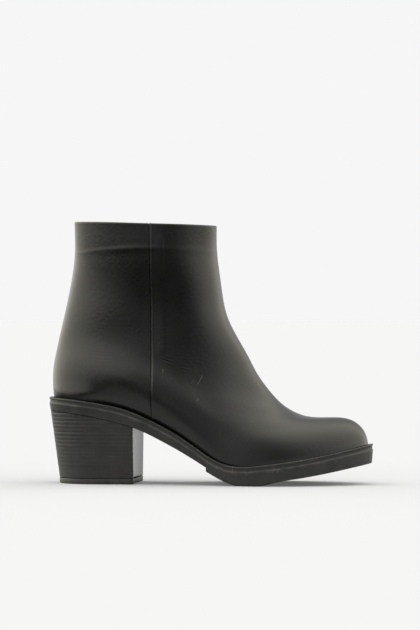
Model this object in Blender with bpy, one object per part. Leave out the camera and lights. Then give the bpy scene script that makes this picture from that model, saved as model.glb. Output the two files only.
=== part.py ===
"""Heeled ankle boot for the right foot, with a zip on its inner side, built up from its last.

Tables and sizes are in millimetres, and MM turns them into metres.
+X runs from heel to toe, -Y is the outer side of the foot and +Z is up.
The origin lies on the floor, under the middle of the sole's box.
"""

import math
from collections import Counter, namedtuple

import bmesh
import bpy
import numpy as np
from mathutils import Matrix, Vector

MM = 0.001

# Driving sizes
SOLE_LENGTH = 248.4
LEDGE = 3.6  # how far the sole's lip stands out from the upper's foot
BALL_WIDTH = 77.0  # of the last's bottom, between the feather lines
WALL = 2.0  # leather and lining together
GAP = 0.3  # between pieces that lie on each other

FEATHER_LENGTH = SOLE_LENGTH - 2 * LEDGE
HEEL_END = -FEATHER_LENGTH / 2
TOE_END = FEATHER_LENGTH / 2
HEEL_CURVE = 29.0  # length of the round of the heel, seen from above
TOE_CURVE = 66.0  # length of the taper of the toe, seen from above
TOE_POWER = 2.1

# Feather line, where upper and sole meet, seen from above.
# along is a share of its length from the heel, outer and inner are shares of the ball's width.
Station = namedtuple("Station", "along outer inner")
FEATHER = [
    Station(0.00, 0.370, 0.370),
    Station(0.18, 0.372, 0.368),
    Station(0.32, 0.388, 0.338),
    Station(0.45, 0.430, 0.325),
    Station(0.56, 0.495, 0.375),
    Station(0.66, 0.535, 0.450),
    Station(0.76, 0.520, 0.497),
    Station(0.88, 0.460, 0.480),
    Station(1.00, 0.400, 0.440),
]

# Side view of the sole: heights above the floor of its top, and of its shank and tread below.
Level = namedtuple("Level", "x z")
SOLE_TOP = [
    Level(-124.2, 65.9),
    Level(-104.0, 64.4),
    Level(-87.0, 62.2),
    Level(-62.0, 57.0),
    Level(-41.0, 48.5),
    Level(-21.0, 37.8),
    Level(-3.5, 26.2),
    Level(10.0, 18.2),
    Level(21.0, 15.1),
    Level(31.0, 14.7),
    Level(44.0, 15.8),
    Level(65.0, 18.6),
    Level(86.0, 22.3),
    Level(105.0, 26.4),
    Level(124.2, 31.0),
]
SHANK_BOTTOM = [
    Level(-124.2, 56.4),
    Level(-102.0, 53.6),
    Level(-83.0, 50.4),
    Level(-69.0, 47.2),
    Level(-55.0, 43.0),
    Level(-46.0, 39.4),
    Level(-33.0, 33.0),
    Level(-16.5, 24.2),
    Level(0.0, 14.4),
    Level(4.0, 12.0),
]
TREAD_BOTTOM = [
    Level(-1.0, 12.0),
    Level(11.0, 5.3),
    Level(17.0, 2.5),
    Level(22.0, 0.8),
    Level(26.0, 0.0),
    Level(42.0, 0.0),
    Level(48.0, 1.4),
    Level(54.0, 2.9),
    Level(72.0, 6.0),
    Level(102.0, 11.8),
    Level(124.2, 16.8),
]
TREAD_START = 1.5
TREAD_FLAT = (26.0, 42.0)  # the forefoot's flat spot on the floor

# Side wall of the sole, from its top edge to its bottom edge.
# out is measured from the lip's edge, down from the top, and up from the bottom.
Step = namedtuple("Step", "out down up")
SOLE_SIDE = [
    Step(-0.8, 0.0, None),
    Step(0.0, 0.6, None),
    Step(0.0, 1.2, None),
    Step(-0.4, 1.6, None),
    Step(-0.4, 3.9, None),
    Step(0.0, 4.4, None),
    Step(-0.7, None, 0.8),
    Step(-1.6, None, 0.0),
]

# Side view of the upper's back and front lines, from the collar down. None is on the sole.
BACK = [
    Level(-105.2, 199.8),
    Level(-104.4, 180.0),
    Level(-106.0, 162.0),
    Level(-111.0, 136.5),
    Level(-116.4, 115.0),
    Level(-120.7, 94.5),
    Level(-121.6, 80.0),
    Level(HEEL_END, None),
]
FRONT = [
    Level(4.8, 197.2),
    Level(4.9, 178.5),
    Level(6.4, 162.5),
    Level(10.2, 137.0),
    Level(16.9, 118.6),
    Level(25.2, 103.4),
    Level(31.0, 92.6),
    Level(36.2, 83.2),
    Level(43.3, 73.3),
    Level(49.5, 65.8),
    Level(56.0, 59.7),
    Level(64.0, 54.9),
    Level(73.0, 51.9),
    Level(84.0, 51.0),
    Level(98.0, 51.0),
    Level(109.8, 48.0),
    Level(117.8, 40.2),
    Level(TOE_END, 30.8),
]

# The upper by the share of its height, up.
# leg is the leg's half width, and leg_share its part against the foot's.
# The back's rounding ends at back_end and the front's starts at front_start, as shares of the way
# along, and back_full and front_full are their powers. aside is the middle's place across.
Course = namedtuple(
    "Course", "up leg leg_share back_end back_full front_start front_full aside"
)
SHAFT = [
    Course(0.00, 32.3, 0.11, 0.24, 2.02, 0.815, 2.17, 0.0),
    Course(0.06, 33.6, 0.14, 0.31, 1.86, 0.767, 2.06, 0.3),
    Course(0.12, 35.1, 0.33, 0.37, 1.85, 0.716, 1.80, 0.9),
    Course(0.18, 36.2, 0.53, 0.42, 1.84, 0.673, 1.73, 1.5),
    Course(0.24, 35.6, 0.67, 0.45, 1.84, 0.640, 1.83, 2.1),
    Course(0.30, 33.8, 0.78, 0.46, 1.85, 0.605, 1.98, 2.4),
    Course(0.38, 32.2, 0.92, 0.45, 1.88, 0.540, 1.96, 2.2),
    Course(0.48, 31.4, 1.00, 0.43, 1.91, 0.490, 1.92, 1.6),
    Course(0.60, 31.0, 1.00, 0.42, 1.95, 0.480, 1.93, 0.9),
    Course(0.75, 31.5, 1.00, 0.42, 1.97, 0.485, 1.97, 0.2),
    Course(0.88, 32.1, 1.00, 0.43, 1.98, 0.490, 1.92, 0.0),
    Course(1.00, 31.5, 1.00, 0.44, 2.00, 0.500, 1.90, 0.0),
]

# What the foot stands out beyond the feather line, by the share along it
Swell = namedtuple("Swell", "along out")
BULGE = [
    Swell(0.00, 1.3),
    Swell(0.20, -0.1),
    Swell(0.40, 3.8),
    Swell(0.55, 5.6),
    Swell(0.70, 1.7),
    Swell(0.85, -0.1),
    Swell(1.00, 0.25),
]
RISE = 0.13  # share of the height in which the feather line gives way to the body
RISE_POWER = 1.7

# Swell of the lasted leather over the sole's edge, by the share along it, with the height of its
# peak at the back and ahead and the height where it ends
WELT_SWELL = [
    Swell(0.00, 0.1),
    Swell(0.12, 0.8),
    Swell(0.25, 1.6),
    Swell(0.40, 2.5),
    Swell(0.55, 1.5),
    Swell(0.70, -0.3),
    Swell(0.85, 0.0),
    Swell(1.00, 0.0),
]
SWELL_PEAK = (26.0, 18.0)
SWELL_END = 48.0

# How far the soft collar leans out, by the share along it, and where that starts on the way up
COLLAR_LEAN = [
    Swell(0.00, 0.0),
    Swell(0.25, 1.2),
    Swell(0.50, -0.1),
    Swell(0.75, -0.4),
    Swell(1.00, 0.0),
]
COLLAR_START = 0.8

# Heel stiffener under the leather: how far it stands out, its top edge at the back and ahead,
# where it fades out along the boot, and half the width of its soft step
STIFFENER = 0.8
STIFFENER_BACK = Level(-118.0, 101.4)
STIFFENER_AHEAD = Level(-45.0, 84.6)
STIFFENER_FADE = (-62.0, -30.0)
STIFFENER_SOFT = 6.5

# Outer side seam, and the zip in line with it on the inner side
SEAM_TOP_X = -42.2
SEAM_FOOT_X = -40.2
COLLAR_DIP = 0.3  # of the collar at the seam, under the line from back to front
SEAM_HEIGHT = 0.6
SEAM_EDGES = (-1.5, -0.5, 0.5, 1.5)  # across the raised seam
ZIP_SLOT = 8.4  # width of the slot in the leather
ZIP_FOOT = 0.17  # the slot's lower end, as a share of the way up the upper
ZIP_COIL = 3.0
TAPE_SINK = 0.7  # the tape's face below the leather's
TAPE_THICK = 0.9
COIL_RISE = 0.5

# Mesh of the upper: columns each side from back to front, and courses from foot to collar
COLUMNS = 36
COURSES = 25
COURSE_POWER = 1.4
DROP_POWER = 2.0  # how fast the courses lose the dip of the feather line

# Heel block and its lift
HEEL_BREAST_X = -55.8
BREAST_HOLLOW = 1.4
HEEL_INSET = 1.0  # of the block's top, inside the sole's edge
HEEL_BACK_TAPER = 7.0
HEEL_SIDE_TAPER = 4.0
LIFT_THICK = 4.2
LIFT_EDGE = 0.6
HEEL_ARC_STEPS = 12

INSOLE_THICK = 2.5
INSOLE_INSET = 3.4  # of the insole's edge, inside the feather line

# Zip slider and pull tab, in the slider's own frame: X across, Y out of the boot, Z up the zip
SLIDER_UP = 0.925  # place of the slider, as a share of the way up the upper
SLIDER_PLATE = (7.6, 1.4, 11.0)
SLIDER_NOSE = 5.0  # width of the plate's lower end
BAIL_WIDTH = 1.6
BAIL_BAR = 1.0
BAIL_WINDOW = (1.9, 4.6)  # clear depth and height under the bail
PIN = 0.9  # thickness of the tab and of its cross bar
TAB_WIDTH = 6.0
TAB_LENGTH = 24.0
TAB_FOOT_WIDTH = 4.6
TAB_HOLE = (2.8, 6.4)


def smooth(table, column, at, key):
    """Value of a table's column on a smooth curve through its rows, at places along the key column."""
    knots = np.array([getattr(row, key) for row in table], float)
    values = np.array([getattr(row, column) for row in table], float)
    return spline(knots, values, at)


def spline(knots, values, at):
    """Natural cubic spline: its bend is 0 at both ends and never jumps."""
    step = np.diff(knots)
    inner = np.arange(1, len(knots) - 1)
    system = np.eye(len(knots))
    system[inner, inner - 1] = step[:-1]
    system[inner, inner] = 2 * (step[:-1] + step[1:])
    system[inner, inner + 1] = step[1:]
    turns = np.concatenate([[0], 6 * np.diff(np.diff(values) / step), [0]])
    bend = np.linalg.solve(system, turns)
    at = np.clip(at, knots[0], knots[-1])
    i = np.clip(np.searchsorted(knots, at, side="right") - 1, 0, len(knots) - 2)
    width, before, after = step[i], at - knots[i], knots[i + 1] - at
    cubic = (bend[i] * after**3 + bend[i + 1] * before**3) / (6 * width)
    low, high = values[i] / width - bend[i] * width / 6, values[i + 1] / width - bend[i + 1] * width / 6
    return cubic + low * after + high * before


def sole_top(x):
    return smooth(SOLE_TOP, "z", x, "x")


def toe_round(x):
    """1 back from the toe's taper, and 0 at the tip, on a superellipse."""
    share = np.clip((x - (TOE_END - TOE_CURVE)) / TOE_CURVE, 0, 1)
    return (1 - share**TOE_POWER) ** (1 / TOE_POWER)


def heel_round(x):
    """1 ahead of the heel's round, and 0 at its back, on a circle."""
    share = np.clip((HEEL_END + HEEL_CURVE - x) / HEEL_CURVE, 0, 1)
    return np.sqrt(1 - share**2)


def feather_edges(x):
    """Distances of the outer and inner feather lines from the boot's axis, at places along it."""
    along = (x - HEEL_END) / FEATHER_LENGTH
    ends = heel_round(x) * toe_round(x) * BALL_WIDTH
    return (
        smooth(FEATHER, "outer", along, "along") * ends,
        smooth(FEATHER, "inner", along, "along") * ends,
    )


def ease(low, high, at):
    """0 up to low and 1 from high on, on an S-shaped curve between."""
    share = np.clip((at - low) / (high - low), 0, 1)
    return share * share * (3 - 2 * share)


def dome(share, power):
    """1 at share 0 and 0 at share 1, round like a superellipse."""
    return (1 - np.clip(share, 0, 1) ** power) ** (1 / power)


def stiffener(x, z, up):
    """How far the heel stiffener pushes the leather out, below its sloping top edge."""
    run = STIFFENER_AHEAD.x - STIFFENER_BACK.x
    slope = (STIFFENER_AHEAD.z - STIFFENER_BACK.z) / run
    edge = STIFFENER_BACK.z + slope * (x - STIFFENER_BACK.x)
    below = 1 - ease(edge - STIFFENER_SOFT, edge + STIFFENER_SOFT, z)
    return STIFFENER * below * (1 - ease(*STIFFENER_FADE, x)) * ease(0, 0.06, up)


def welt_swell(along, x, z):
    """Swell over the sole's edge: a quarter sine up to its peak, then half a cosine to its end."""
    above = z - sole_top(x) - GAP
    peak = SWELL_PEAK[0] + (SWELL_PEAK[1] - SWELL_PEAK[0]) * ease(0.2, 0.7, along)
    rise = np.sin(np.pi / 2 * np.clip(above / peak, 0, 1))
    fall = 0.5 + 0.5 * np.cos(np.pi * np.clip((above - peak) / (SWELL_END - peak), 0, 1))
    return smooth(WELT_SWELL, "out", along, "along") * np.where(above < peak, rise, fall)


def breadth(along, up, x, z):
    """Middle and half width of the upper: leg and foot mixed, rounded off to back and front."""
    row = Course(up, *(smooth(SHAFT, name, up, "up") for name in Course._fields[1:]))
    foot_x = side_view(along, np.zeros_like(up))[0]
    outer, inner = feather_edges(foot_x)
    share = (foot_x - HEEL_END) / FEATHER_LENGTH
    edges = smooth(FEATHER, "outer", share, "along") + smooth(FEATHER, "inner", share, "along")
    foot_wide = edges / 2 * BALL_WIDTH + smooth(BULGE, "out", along, "along")
    wide = foot_wide * (1 - row.leg_share) + row.leg * row.leg_share
    back = dome((row.back_end - along) / row.back_end, row.back_full)
    front = dome((along - row.front_start) / (1 - row.front_start), row.front_full)
    foot = (outer + inner) / 2
    half = foot + (wide * back * front - foot) * dome(1 - up / RISE, RISE_POWER)
    half = half + (stiffener(x, z, up) + welt_swell(along, x, z)) * np.clip(half / 20, 0, 1)
    lean = np.clip((up - COLLAR_START) / (1 - COLLAR_START), 0, 1) ** 2
    half = half + smooth(COLLAR_LEAN, "out", along, "along") * lean
    return (inner - outer) / 2 * (1 - ease(0, 0.35, up)) + row.aside, half


def line_by_length(table, up):
    """Points at the shares up along a side-view line, from its foot, by its length."""
    heights = [sole_top(np.array(p.x)) + GAP if p.z is None else p.z for p in table]
    number = np.arange(len(table), dtype=float)
    at = np.linspace(len(table) - 1, 0, 1500)
    x = spline(number, np.array([p.x for p in table], float), at)
    z = spline(number, np.array(heights, float), at)
    length = np.concatenate([[0], np.cumsum(np.hypot(np.diff(x), np.diff(z)))])
    length /= length[-1]
    return np.interp(up, length, x), np.interp(up, length, z)


def back_line(up):
    return line_by_length(BACK, up)


def front_line(up):
    return line_by_length(FRONT, up)


def seam_line(up):
    foot_z = sole_top(np.array(SEAM_FOOT_X)) + GAP
    share = (SEAM_TOP_X - BACK[0].x) / (FRONT[0].x - BACK[0].x)
    top_z = BACK[0].z + (FRONT[0].z - BACK[0].z) * share - COLLAR_DIP
    return SEAM_FOOT_X + (SEAM_TOP_X - SEAM_FOOT_X) * up, foot_z + (top_z - foot_z) * up


def side_view(along, up):
    """Side-view point of the upper: along from back (0) by seam (0.5) to front (1), up from the foot."""

    def through_lines(share_up):
        weights = (
            (2 * along - 1) * (along - 1),
            4 * along * (1 - along),
            along * (2 * along - 1),
        )
        lines = (back_line(share_up), seam_line(share_up), front_line(share_up))
        return [sum(w * line[i] for w, line in zip(weights, lines)) for i in (0, 1)]

    x, z = through_lines(up)
    foot_x, foot_z = through_lines(np.zeros_like(up))
    dip = sole_top(foot_x) + GAP - foot_z
    return x, z + dip * (1 - up) ** DROP_POWER


def upper_points(along, up, side):
    """Points of the upper's outer face. side is -1 on the outer side of the foot and 1 on the inner."""
    along, up = np.broadcast_arrays(np.asarray(along, float), np.asarray(up, float))
    x, z = side_view(along, up)
    middle, half = breadth(along, up, x, z)
    half = np.where((along <= 0) | (along >= 1), 0, half)
    return np.stack([x, middle + side * half, z], axis=-1)


def along_at_seam(offset, up):
    """Place along the upper that lies offset millimetres ahead of the seam line."""
    nudge = 0.01
    ahead = side_view(np.full_like(up, 0.5 + nudge), up)[0]
    behind = side_view(np.full_like(up, 0.5 - nudge), up)[0]
    return 0.5 + offset * 2 * nudge / (ahead - behind)


def upper_normals(along, up, side):
    """Outward normals of the upper's face, from small steps along and up it."""
    nudge = 0.004
    run = upper_points(along + nudge, up, side) - upper_points(along - nudge, up, side)
    rise = upper_points(along, up + nudge, side) - upper_points(along, up - nudge, side)
    normal = np.cross(run, rise) * -side
    return normal / np.linalg.norm(normal, axis=-1, keepdims=True)


def column_places(up, seam_offsets):
    """Places along one side for each course: even columns, with the seam's own columns in their middle."""
    even = (1 - np.cos(np.pi * np.arange(COLUMNS + 1) / COLUMNS)) / 2
    clear = np.abs(even - 0.5) > 0.5 / COLUMNS + 0.01
    before, after = even[clear & (even < 0.5)], even[clear & (even > 0.5)]
    seam = np.stack([along_at_seam(offset, up) for offset in seam_offsets], axis=-1)
    rows = len(up)
    return np.hstack([np.tile(before, (rows, 1)), seam, np.tile(after, (rows, 1))])


def course_heights():
    return (np.arange(COURSES) / (COURSES - 1)) ** COURSE_POWER


def axis_offset():
    """Sideways place of the middle of the sole's box."""
    outer, inner = feather_edges(np.linspace(HEEL_END, TOE_END, 400))
    return (inner.max() - outer.max()) / 2


def to_metres(points):
    """Millimetres about the boot's axis into metres about the middle of the sole's box."""
    return (np.asarray(points, float) - (0, axis_offset(), 0)) * MM


def material(name, colour, roughness, metallic=0.0):
    made = bpy.data.materials.new(name)
    made.use_nodes = True
    shader = made.node_tree.nodes["Principled BSDF"]
    shader.inputs["Base Color"].default_value = (*colour, 1)
    shader.inputs["Roughness"].default_value = roughness
    shader.inputs["Metallic"].default_value = metallic
    return made


def add_object(name, mesh, finish, parent, sharp_deg=35):
    mesh.materials.append(finish)
    mesh.shade_smooth()
    mesh.set_sharp_from_angle(angle=math.radians(sharp_deg))
    made = bpy.data.objects.new(name, mesh)
    made.parent = parent
    bpy.context.scene.collection.objects.link(made)
    return made


def mesh_from(name, points, faces):
    mesh = bpy.data.meshes.new(name)
    mesh.from_pydata([tuple(p) for p in to_metres(points)], [], faces)
    mesh.validate()
    return mesh


def faced_out(mesh):
    """Closed mesh with its faces turned outwards."""
    bm = bmesh.new()
    bm.from_mesh(mesh)
    bmesh.ops.recalc_face_normals(bm, faces=bm.faces)
    bm.to_mesh(mesh)
    bm.free()
    return mesh


def outline_loop(places):
    """Feather outline seen from above: back, outer side, toe tip, and back along the inner side."""
    outer, inner = feather_edges(places)
    ahead = np.stack([places, -outer], axis=-1)
    behind = np.stack([places, inner], axis=-1)[-2:0:-1]
    return np.vstack([ahead, behind])


def spread(loop, distance):
    """Outline moved outwards, square to itself."""
    run = np.roll(loop, -1, axis=0) - np.roll(loop, 1, axis=0)
    normal = np.stack([run[:, 1], -run[:, 0]], axis=-1)
    return loop + distance * normal / np.linalg.norm(normal, axis=-1, keepdims=True)


def skin_loops(name, loops):
    """Closed mesh over loops of equal length, whose first and last are closed with strips across the boot."""
    count = len(loops[0])
    points = np.vstack(loops)
    faces = []
    for level in range(len(loops) - 1):
        low, high = level * count, (level + 1) * count
        faces += [
            (low + i, low + (i + 1) % count, high + (i + 1) % count, high + i)
            for i in range(count)
        ]
    half = count // 2
    for start in (0, (len(loops) - 1) * count):
        for i in range(half - 2):
            strip = [start + i, start + i + 1, start + (-i - 1) % count, start + -i % count]
            faces.append(tuple(dict.fromkeys(strip)))
        faces.append(tuple(range(start + half - 2, start + half + 3)))
    return faced_out(mesh_from(name, points, faces))


def shell(name, outer, inner, quads):
    """Closed mesh between an outer and an inner sheet of the same quads, with a rim on each free edge."""
    count = len(outer)
    sides = Counter()
    for quad in quads:
        sides.update(zip(quad, quad[1:] + quad[:1]))
    rims = [(b, a, a + count, b + count) for a, b in sides if (b, a) not in sides]
    inside = [tuple(i + count for i in reversed(quad)) for quad in quads]
    return mesh_from(name, np.vstack([outer, inner]), quads + inside + rims)


def sheet_normals(points, quads):
    """Normals at a sheet's points, from the quads around each."""
    mesh = bpy.data.meshes.new("sheet")
    mesh.from_pydata([tuple(p) for p in points], [], quads)
    normals = np.array([v.vector[:] for v in mesh.vertex_normals])
    bpy.data.meshes.remove(mesh)
    return normals


def make_upper(finish, parent):
    up = course_heights()
    outer_places = column_places(up, SEAM_EDGES)
    inner_places = column_places(up, (-ZIP_SLOT / 2, ZIP_SLOT / 2))
    loops = np.concatenate(
        [
            upper_points(outer_places, up[:, None], -1),
            upper_points(inner_places, up[:, None], 1)[:, -2:0:-1],
        ],
        axis=1,
    )
    count = loops.shape[1]
    seam = int(np.sum(outer_places[0] < 0.5))
    slot = count - int(np.sum(inner_places[0] < 0.5))
    quads = [
        (r * count + i, r * count + j, (r + 1) * count + j, (r + 1) * count + i)
        for r in range(COURSES - 1)
        for i, j in zip(range(count), [*range(1, count), 0])
        if i != slot or up[r] < ZIP_FOOT
    ]
    face = loops.reshape(-1, 3)
    normals = sheet_normals(face, quads)
    lining = face - WALL * normals
    foot = lining[:count]
    foot[:, 2] = sole_top(foot[:, 0]) + GAP
    raised = np.zeros((COURSES, count))
    raised[1:, seam - 1 : seam + 1] = SEAM_HEIGHT
    face = face + raised.reshape(-1, 1) * normals
    mesh = shell("upper", face, lining, quads)
    return add_object("upper", mesh, finish, parent)


def sole_places():
    """Stations along the sole, close together at its round ends, with two at the tread's step."""
    even = -np.cos(np.linspace(0, np.pi, 55)) * FEATHER_LENGTH / 2
    far = np.abs(even - TREAD_START) > 3
    edges = [*TREAD_FLAT, TREAD_START - 0.4, TREAD_START + 0.4]
    far &= np.min([np.abs(even - edge) for edge in TREAD_FLAT], axis=0) > 2
    return np.sort(np.concatenate([even[far], edges]))


def sole_bottom(x, on_tread):
    return np.where(
        on_tread, smooth(TREAD_BOTTOM, "z", x, "x"), smooth(SHANK_BOTTOM, "z", x, "x")
    )


def make_outsole(finish, parent):
    places = sole_places()
    base = outline_loop(places)
    on_tread = base[:, 0] > TREAD_START
    flat = (base[:, 0] > TREAD_FLAT[0] - 0.01) & (base[:, 0] < TREAD_FLAT[1] + 0.01)
    loops = []
    for step in SOLE_SIDE:
        loop = spread(base, LEDGE + step.out)
        if step.up is None:
            z = sole_top(loop[:, 0]) - step.down
        else:
            z = np.where(flat, 0, sole_bottom(loop[:, 0], on_tread)) + step.up
        loops.append(np.column_stack([loop, z]))
    return add_object("outsole", skin_loops("outsole", loops), finish, parent)


def make_insole(finish, parent):
    even = -np.cos(np.linspace(0, np.pi, 37)) * FEATHER_LENGTH / 2
    loop = spread(outline_loop(even), -INSOLE_INSET)
    loops = [
        np.column_stack([loop, sole_top(loop[:, 0]) + height])
        for height in (GAP, GAP + INSOLE_THICK)
    ]
    return add_object("insole", skin_loops("insole", loops), finish, parent)


def heel_loop(drop):
    """D-shaped outline of the heel at a share drop of the way down: back, outer side, breast, inner side."""
    outer, _ = feather_edges(np.array(HEEL_END + HEEL_CURVE))
    half = outer + LEDGE - HEEL_INSET - HEEL_SIDE_TAPER * drop
    back = HEEL_END - LEDGE + HEEL_INSET + HEEL_BACK_TAPER * drop
    turn = np.linspace(0, np.pi / 2, HEEL_ARC_STEPS + 1)
    arc_x = back + half * (1 - np.cos(turn))
    side_x = np.linspace(arc_x[-1], HEEL_BREAST_X, 5)[1:]
    x = np.concatenate([arc_x, side_x, [HEEL_BREAST_X - BREAST_HOLLOW]])
    y = np.concatenate([-half * np.sin(turn), np.full(len(side_x), -half), [0]])
    ahead = np.stack([x, y], axis=-1)
    return np.vstack([ahead, ahead[-2:0:-1] * (1, -1)])


def make_heel_block(finish, parent):
    top, foot = heel_loop(0), heel_loop(1)
    top_z = sole_bottom(top[:, 0], False) - GAP
    loops = [
        np.column_stack([top, top_z]),
        np.column_stack([foot, np.full(len(foot), LIFT_THICK + GAP)]),
    ]
    return add_object("heel_block", skin_loops("heel_block", loops), finish, parent)


def make_top_lift(finish, parent):
    foot = heel_loop(1)
    levels = [(LIFT_THICK, 0), (LIFT_EDGE, 0), (0, -LIFT_EDGE)]
    loops = [
        np.column_stack([spread(foot, out), np.full(len(foot), z)]) for z, out in levels
    ]
    return add_object("top_lift", skin_loops("top_lift", loops), finish, parent)


def make_zip_tape(finish, parent):
    """Tape with its coil down the middle, cut from the upper's own face and set back into the slot."""
    half = ZIP_SLOT / 2 - GAP - 0.1
    across = (-half, -ZIP_COIL / 2, -ZIP_COIL / 4, ZIP_COIL / 4, ZIP_COIL / 2, half)
    sink = np.array([0, 0, -COIL_RISE, -COIL_RISE, 0, 0]) + TAPE_SINK
    heights = course_heights()
    first = heights[heights >= ZIP_FOOT][0]
    margin = 0.003
    up = np.concatenate([[first + margin], heights[heights > first]])
    places = np.stack([along_at_seam(offset, up) for offset in across], axis=-1)
    normals = upper_normals(places, np.minimum(up, 1 - 2 * margin)[:, None], 1)
    face = upper_points(places, up[:, None], 1) - normals * sink[None, :, None]
    back = upper_points(places, up[:, None], 1) - normals * (TAPE_SINK + TAPE_THICK)
    count = len(across)
    quads = [
        (r * count + i, (r + 1) * count + i, (r + 1) * count + i + 1, r * count + i + 1)
        for r in range(len(up) - 1)
        for i in range(count - 1)
    ]
    mesh = shell("zip_tape", face.reshape(-1, 3), back.reshape(-1, 3), quads)
    return add_object("zip_tape", mesh, finish, parent)


def zip_frame():
    """Place of the slider on the zip: X across, Y out of the boot, Z up the zip, in metres."""
    place, up = np.array([0.5]), np.array([SLIDER_UP])
    out = Vector(upper_normals(place, up, 1)[0])
    rise = upper_points(place, up + 0.02, 1)[0] - upper_points(place, up - 0.02, 1)[0]
    along = Vector(rise)
    along = (along - along.project(out)).normalized()
    across = out.cross(along)
    frame = Matrix((across, out, along)).transposed().to_4x4()
    seat = upper_points(place, up, 1)[0] + np.array(out) * (COIL_RISE - TAPE_SINK + GAP)
    frame.translation = Vector(to_metres(seat))
    return frame


def box(bm, low, high):
    """Box between two corners, in millimetres, added to a bmesh."""
    size = Vector(high) - Vector(low)
    middle = (Vector(high) + Vector(low)) / 2
    place = Matrix.Translation(middle * MM) @ Matrix.Diagonal((*(size * MM), 1))
    return bmesh.ops.create_cube(bm, size=1, matrix=place)["verts"]


def join(made, tool, operation):
    cut = made.modifiers.new(tool.name, "BOOLEAN")
    cut.operation = operation
    cut.object = tool
    tool.hide_render = True
    tool.display_type = "WIRE"


def helper(name, build, parent):
    bm = bmesh.new()
    build(bm)
    mesh = bpy.data.meshes.new(name)
    bm.to_mesh(mesh)
    bm.free()
    made = bpy.data.objects.new(name, mesh)
    made.parent = parent
    bpy.context.scene.collection.objects.link(made)
    return made


def make_slider(finish, seat):
    """Plate that narrows towards its lower end, with a bail standing on it."""
    wide, thick, tall = SLIDER_PLATE
    depth, height = BAIL_WINDOW
    bail_tall = height + 2 * BAIL_BAR

    def plate(bm):
        for vert in box(bm, (-wide / 2, 0, -tall / 2), (wide / 2, thick, tall / 2)):
            if vert.co.z < 0:
                vert.co.x *= SLIDER_NOSE / wide

    def bail(bm):
        box(
            bm,
            (-BAIL_WIDTH / 2, thick - GAP, -bail_tall / 2),
            (BAIL_WIDTH / 2, thick + depth + BAIL_BAR, bail_tall / 2),
        )

    def window(bm):
        box(bm, (-BAIL_WIDTH, thick, -height / 2), (BAIL_WIDTH, thick + depth, height / 2))

    made = helper("zip_slider", plate, seat)
    made.data.materials.append(finish)
    edge = made.modifiers.new("edge", "BEVEL")
    edge.width = 0.4 * MM
    edge.segments = 2
    bow = helper("bail_form", bail, seat)
    join(bow, helper("bail_window", window, seat), "DIFFERENCE")
    join(made, bow, "UNION")
    return made


def make_pull_tab(finish, seat):
    """Tab that hangs from its cross bar, inside the bail. Its origin is on the bar's axis."""
    _, thick, _ = SLIDER_PLATE
    depth, height = BAIL_WINDOW
    pivot = bpy.data.objects.new("pull_tab_pivot", None)
    pivot.parent = seat
    pivot.location = Vector((0, thick + depth / 2, height / 2 - PIN)) * MM
    bpy.context.scene.collection.objects.link(pivot)
    bar = PIN / 2

    def tab(bm):
        for vert in box(bm, (-TAB_WIDTH / 2, -bar, bar - TAB_LENGTH), (TAB_WIDTH / 2, bar, bar)):
            if vert.co.z < -TAB_LENGTH * MM / 2:
                vert.co.x *= TAB_FOOT_WIDTH / TAB_WIDTH

    def hole(bm):
        wide, tall = TAB_HOLE
        box(bm, (-wide / 2, -PIN, -bar - tall), (wide / 2, PIN, -bar))

    made = helper("zip_pull_tab", tab, pivot)
    made.data.materials.append(finish)
    join(made, helper("tab_hole", hole, pivot), "DIFFERENCE")
    edge = made.modifiers.new("edge", "BEVEL")
    edge.width = 0.2 * MM
    edge.segments = 1
    return made


def clear_scene():
    for old in list(bpy.data.objects):
        bpy.data.objects.remove(old)


def main():
    clear_scene()
    boot = bpy.data.objects.new("boot", None)
    bpy.context.scene.collection.objects.link(boot)
    leather = material("black_leather", (0.018, 0.018, 0.017), 0.42)
    rubber = material("black_rubber", (0.022, 0.022, 0.022), 0.55)
    stacked = material("stacked_heel", (0.02, 0.02, 0.02), 0.5)
    sock = material("insole_sock", (0.05, 0.045, 0.04), 0.8)
    tape = material("zip_tape", (0.012, 0.012, 0.012), 0.75)
    metal = material("zip_metal", (0.35, 0.34, 0.33), 0.35, 1.0)
    make_upper(leather, boot)
    make_outsole(rubber, boot)
    make_insole(sock, boot)
    make_heel_block(stacked, boot)
    make_top_lift(rubber, boot)
    make_zip_tape(tape, boot)
    seat = bpy.data.objects.new("zip_seat", None)
    seat.parent = boot
    seat.matrix_world = zip_frame()
    bpy.context.scene.collection.objects.link(seat)
    make_slider(metal, seat)
    make_pull_tab(metal, seat)


main()
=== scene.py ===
"""Looks of a heeled ankle boot with a zip on its inner side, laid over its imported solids.

Tables and sizes are in millimetres about the boot's axis: +X from heel to toe, -Y the outer
side of the foot, +Z up. to_metres turns them into the frame's metres.
"""

import math

import bmesh
import bpy
import numpy as np
from bpy.props import FloatProperty, FloatVectorProperty, PointerProperty
from bpy.types import Operator, Panel, PropertyGroup
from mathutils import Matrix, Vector


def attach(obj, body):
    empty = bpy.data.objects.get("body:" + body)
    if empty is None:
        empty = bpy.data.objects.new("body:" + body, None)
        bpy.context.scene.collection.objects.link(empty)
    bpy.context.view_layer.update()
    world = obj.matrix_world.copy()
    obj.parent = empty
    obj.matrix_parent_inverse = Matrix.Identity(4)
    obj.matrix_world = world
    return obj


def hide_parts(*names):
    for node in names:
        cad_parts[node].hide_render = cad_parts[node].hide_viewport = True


bl_info = {
    "name": "Heeled side-zip boot",
    "version": (1, 0, 0),
    "blender": (4, 5, 0),
    "location": "3D View > Sidebar > Boot",
    "description": "Dresses the boot's solids in leather, rubber and metal, in a plain studio",
    "category": "Add Mesh",
}

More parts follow.
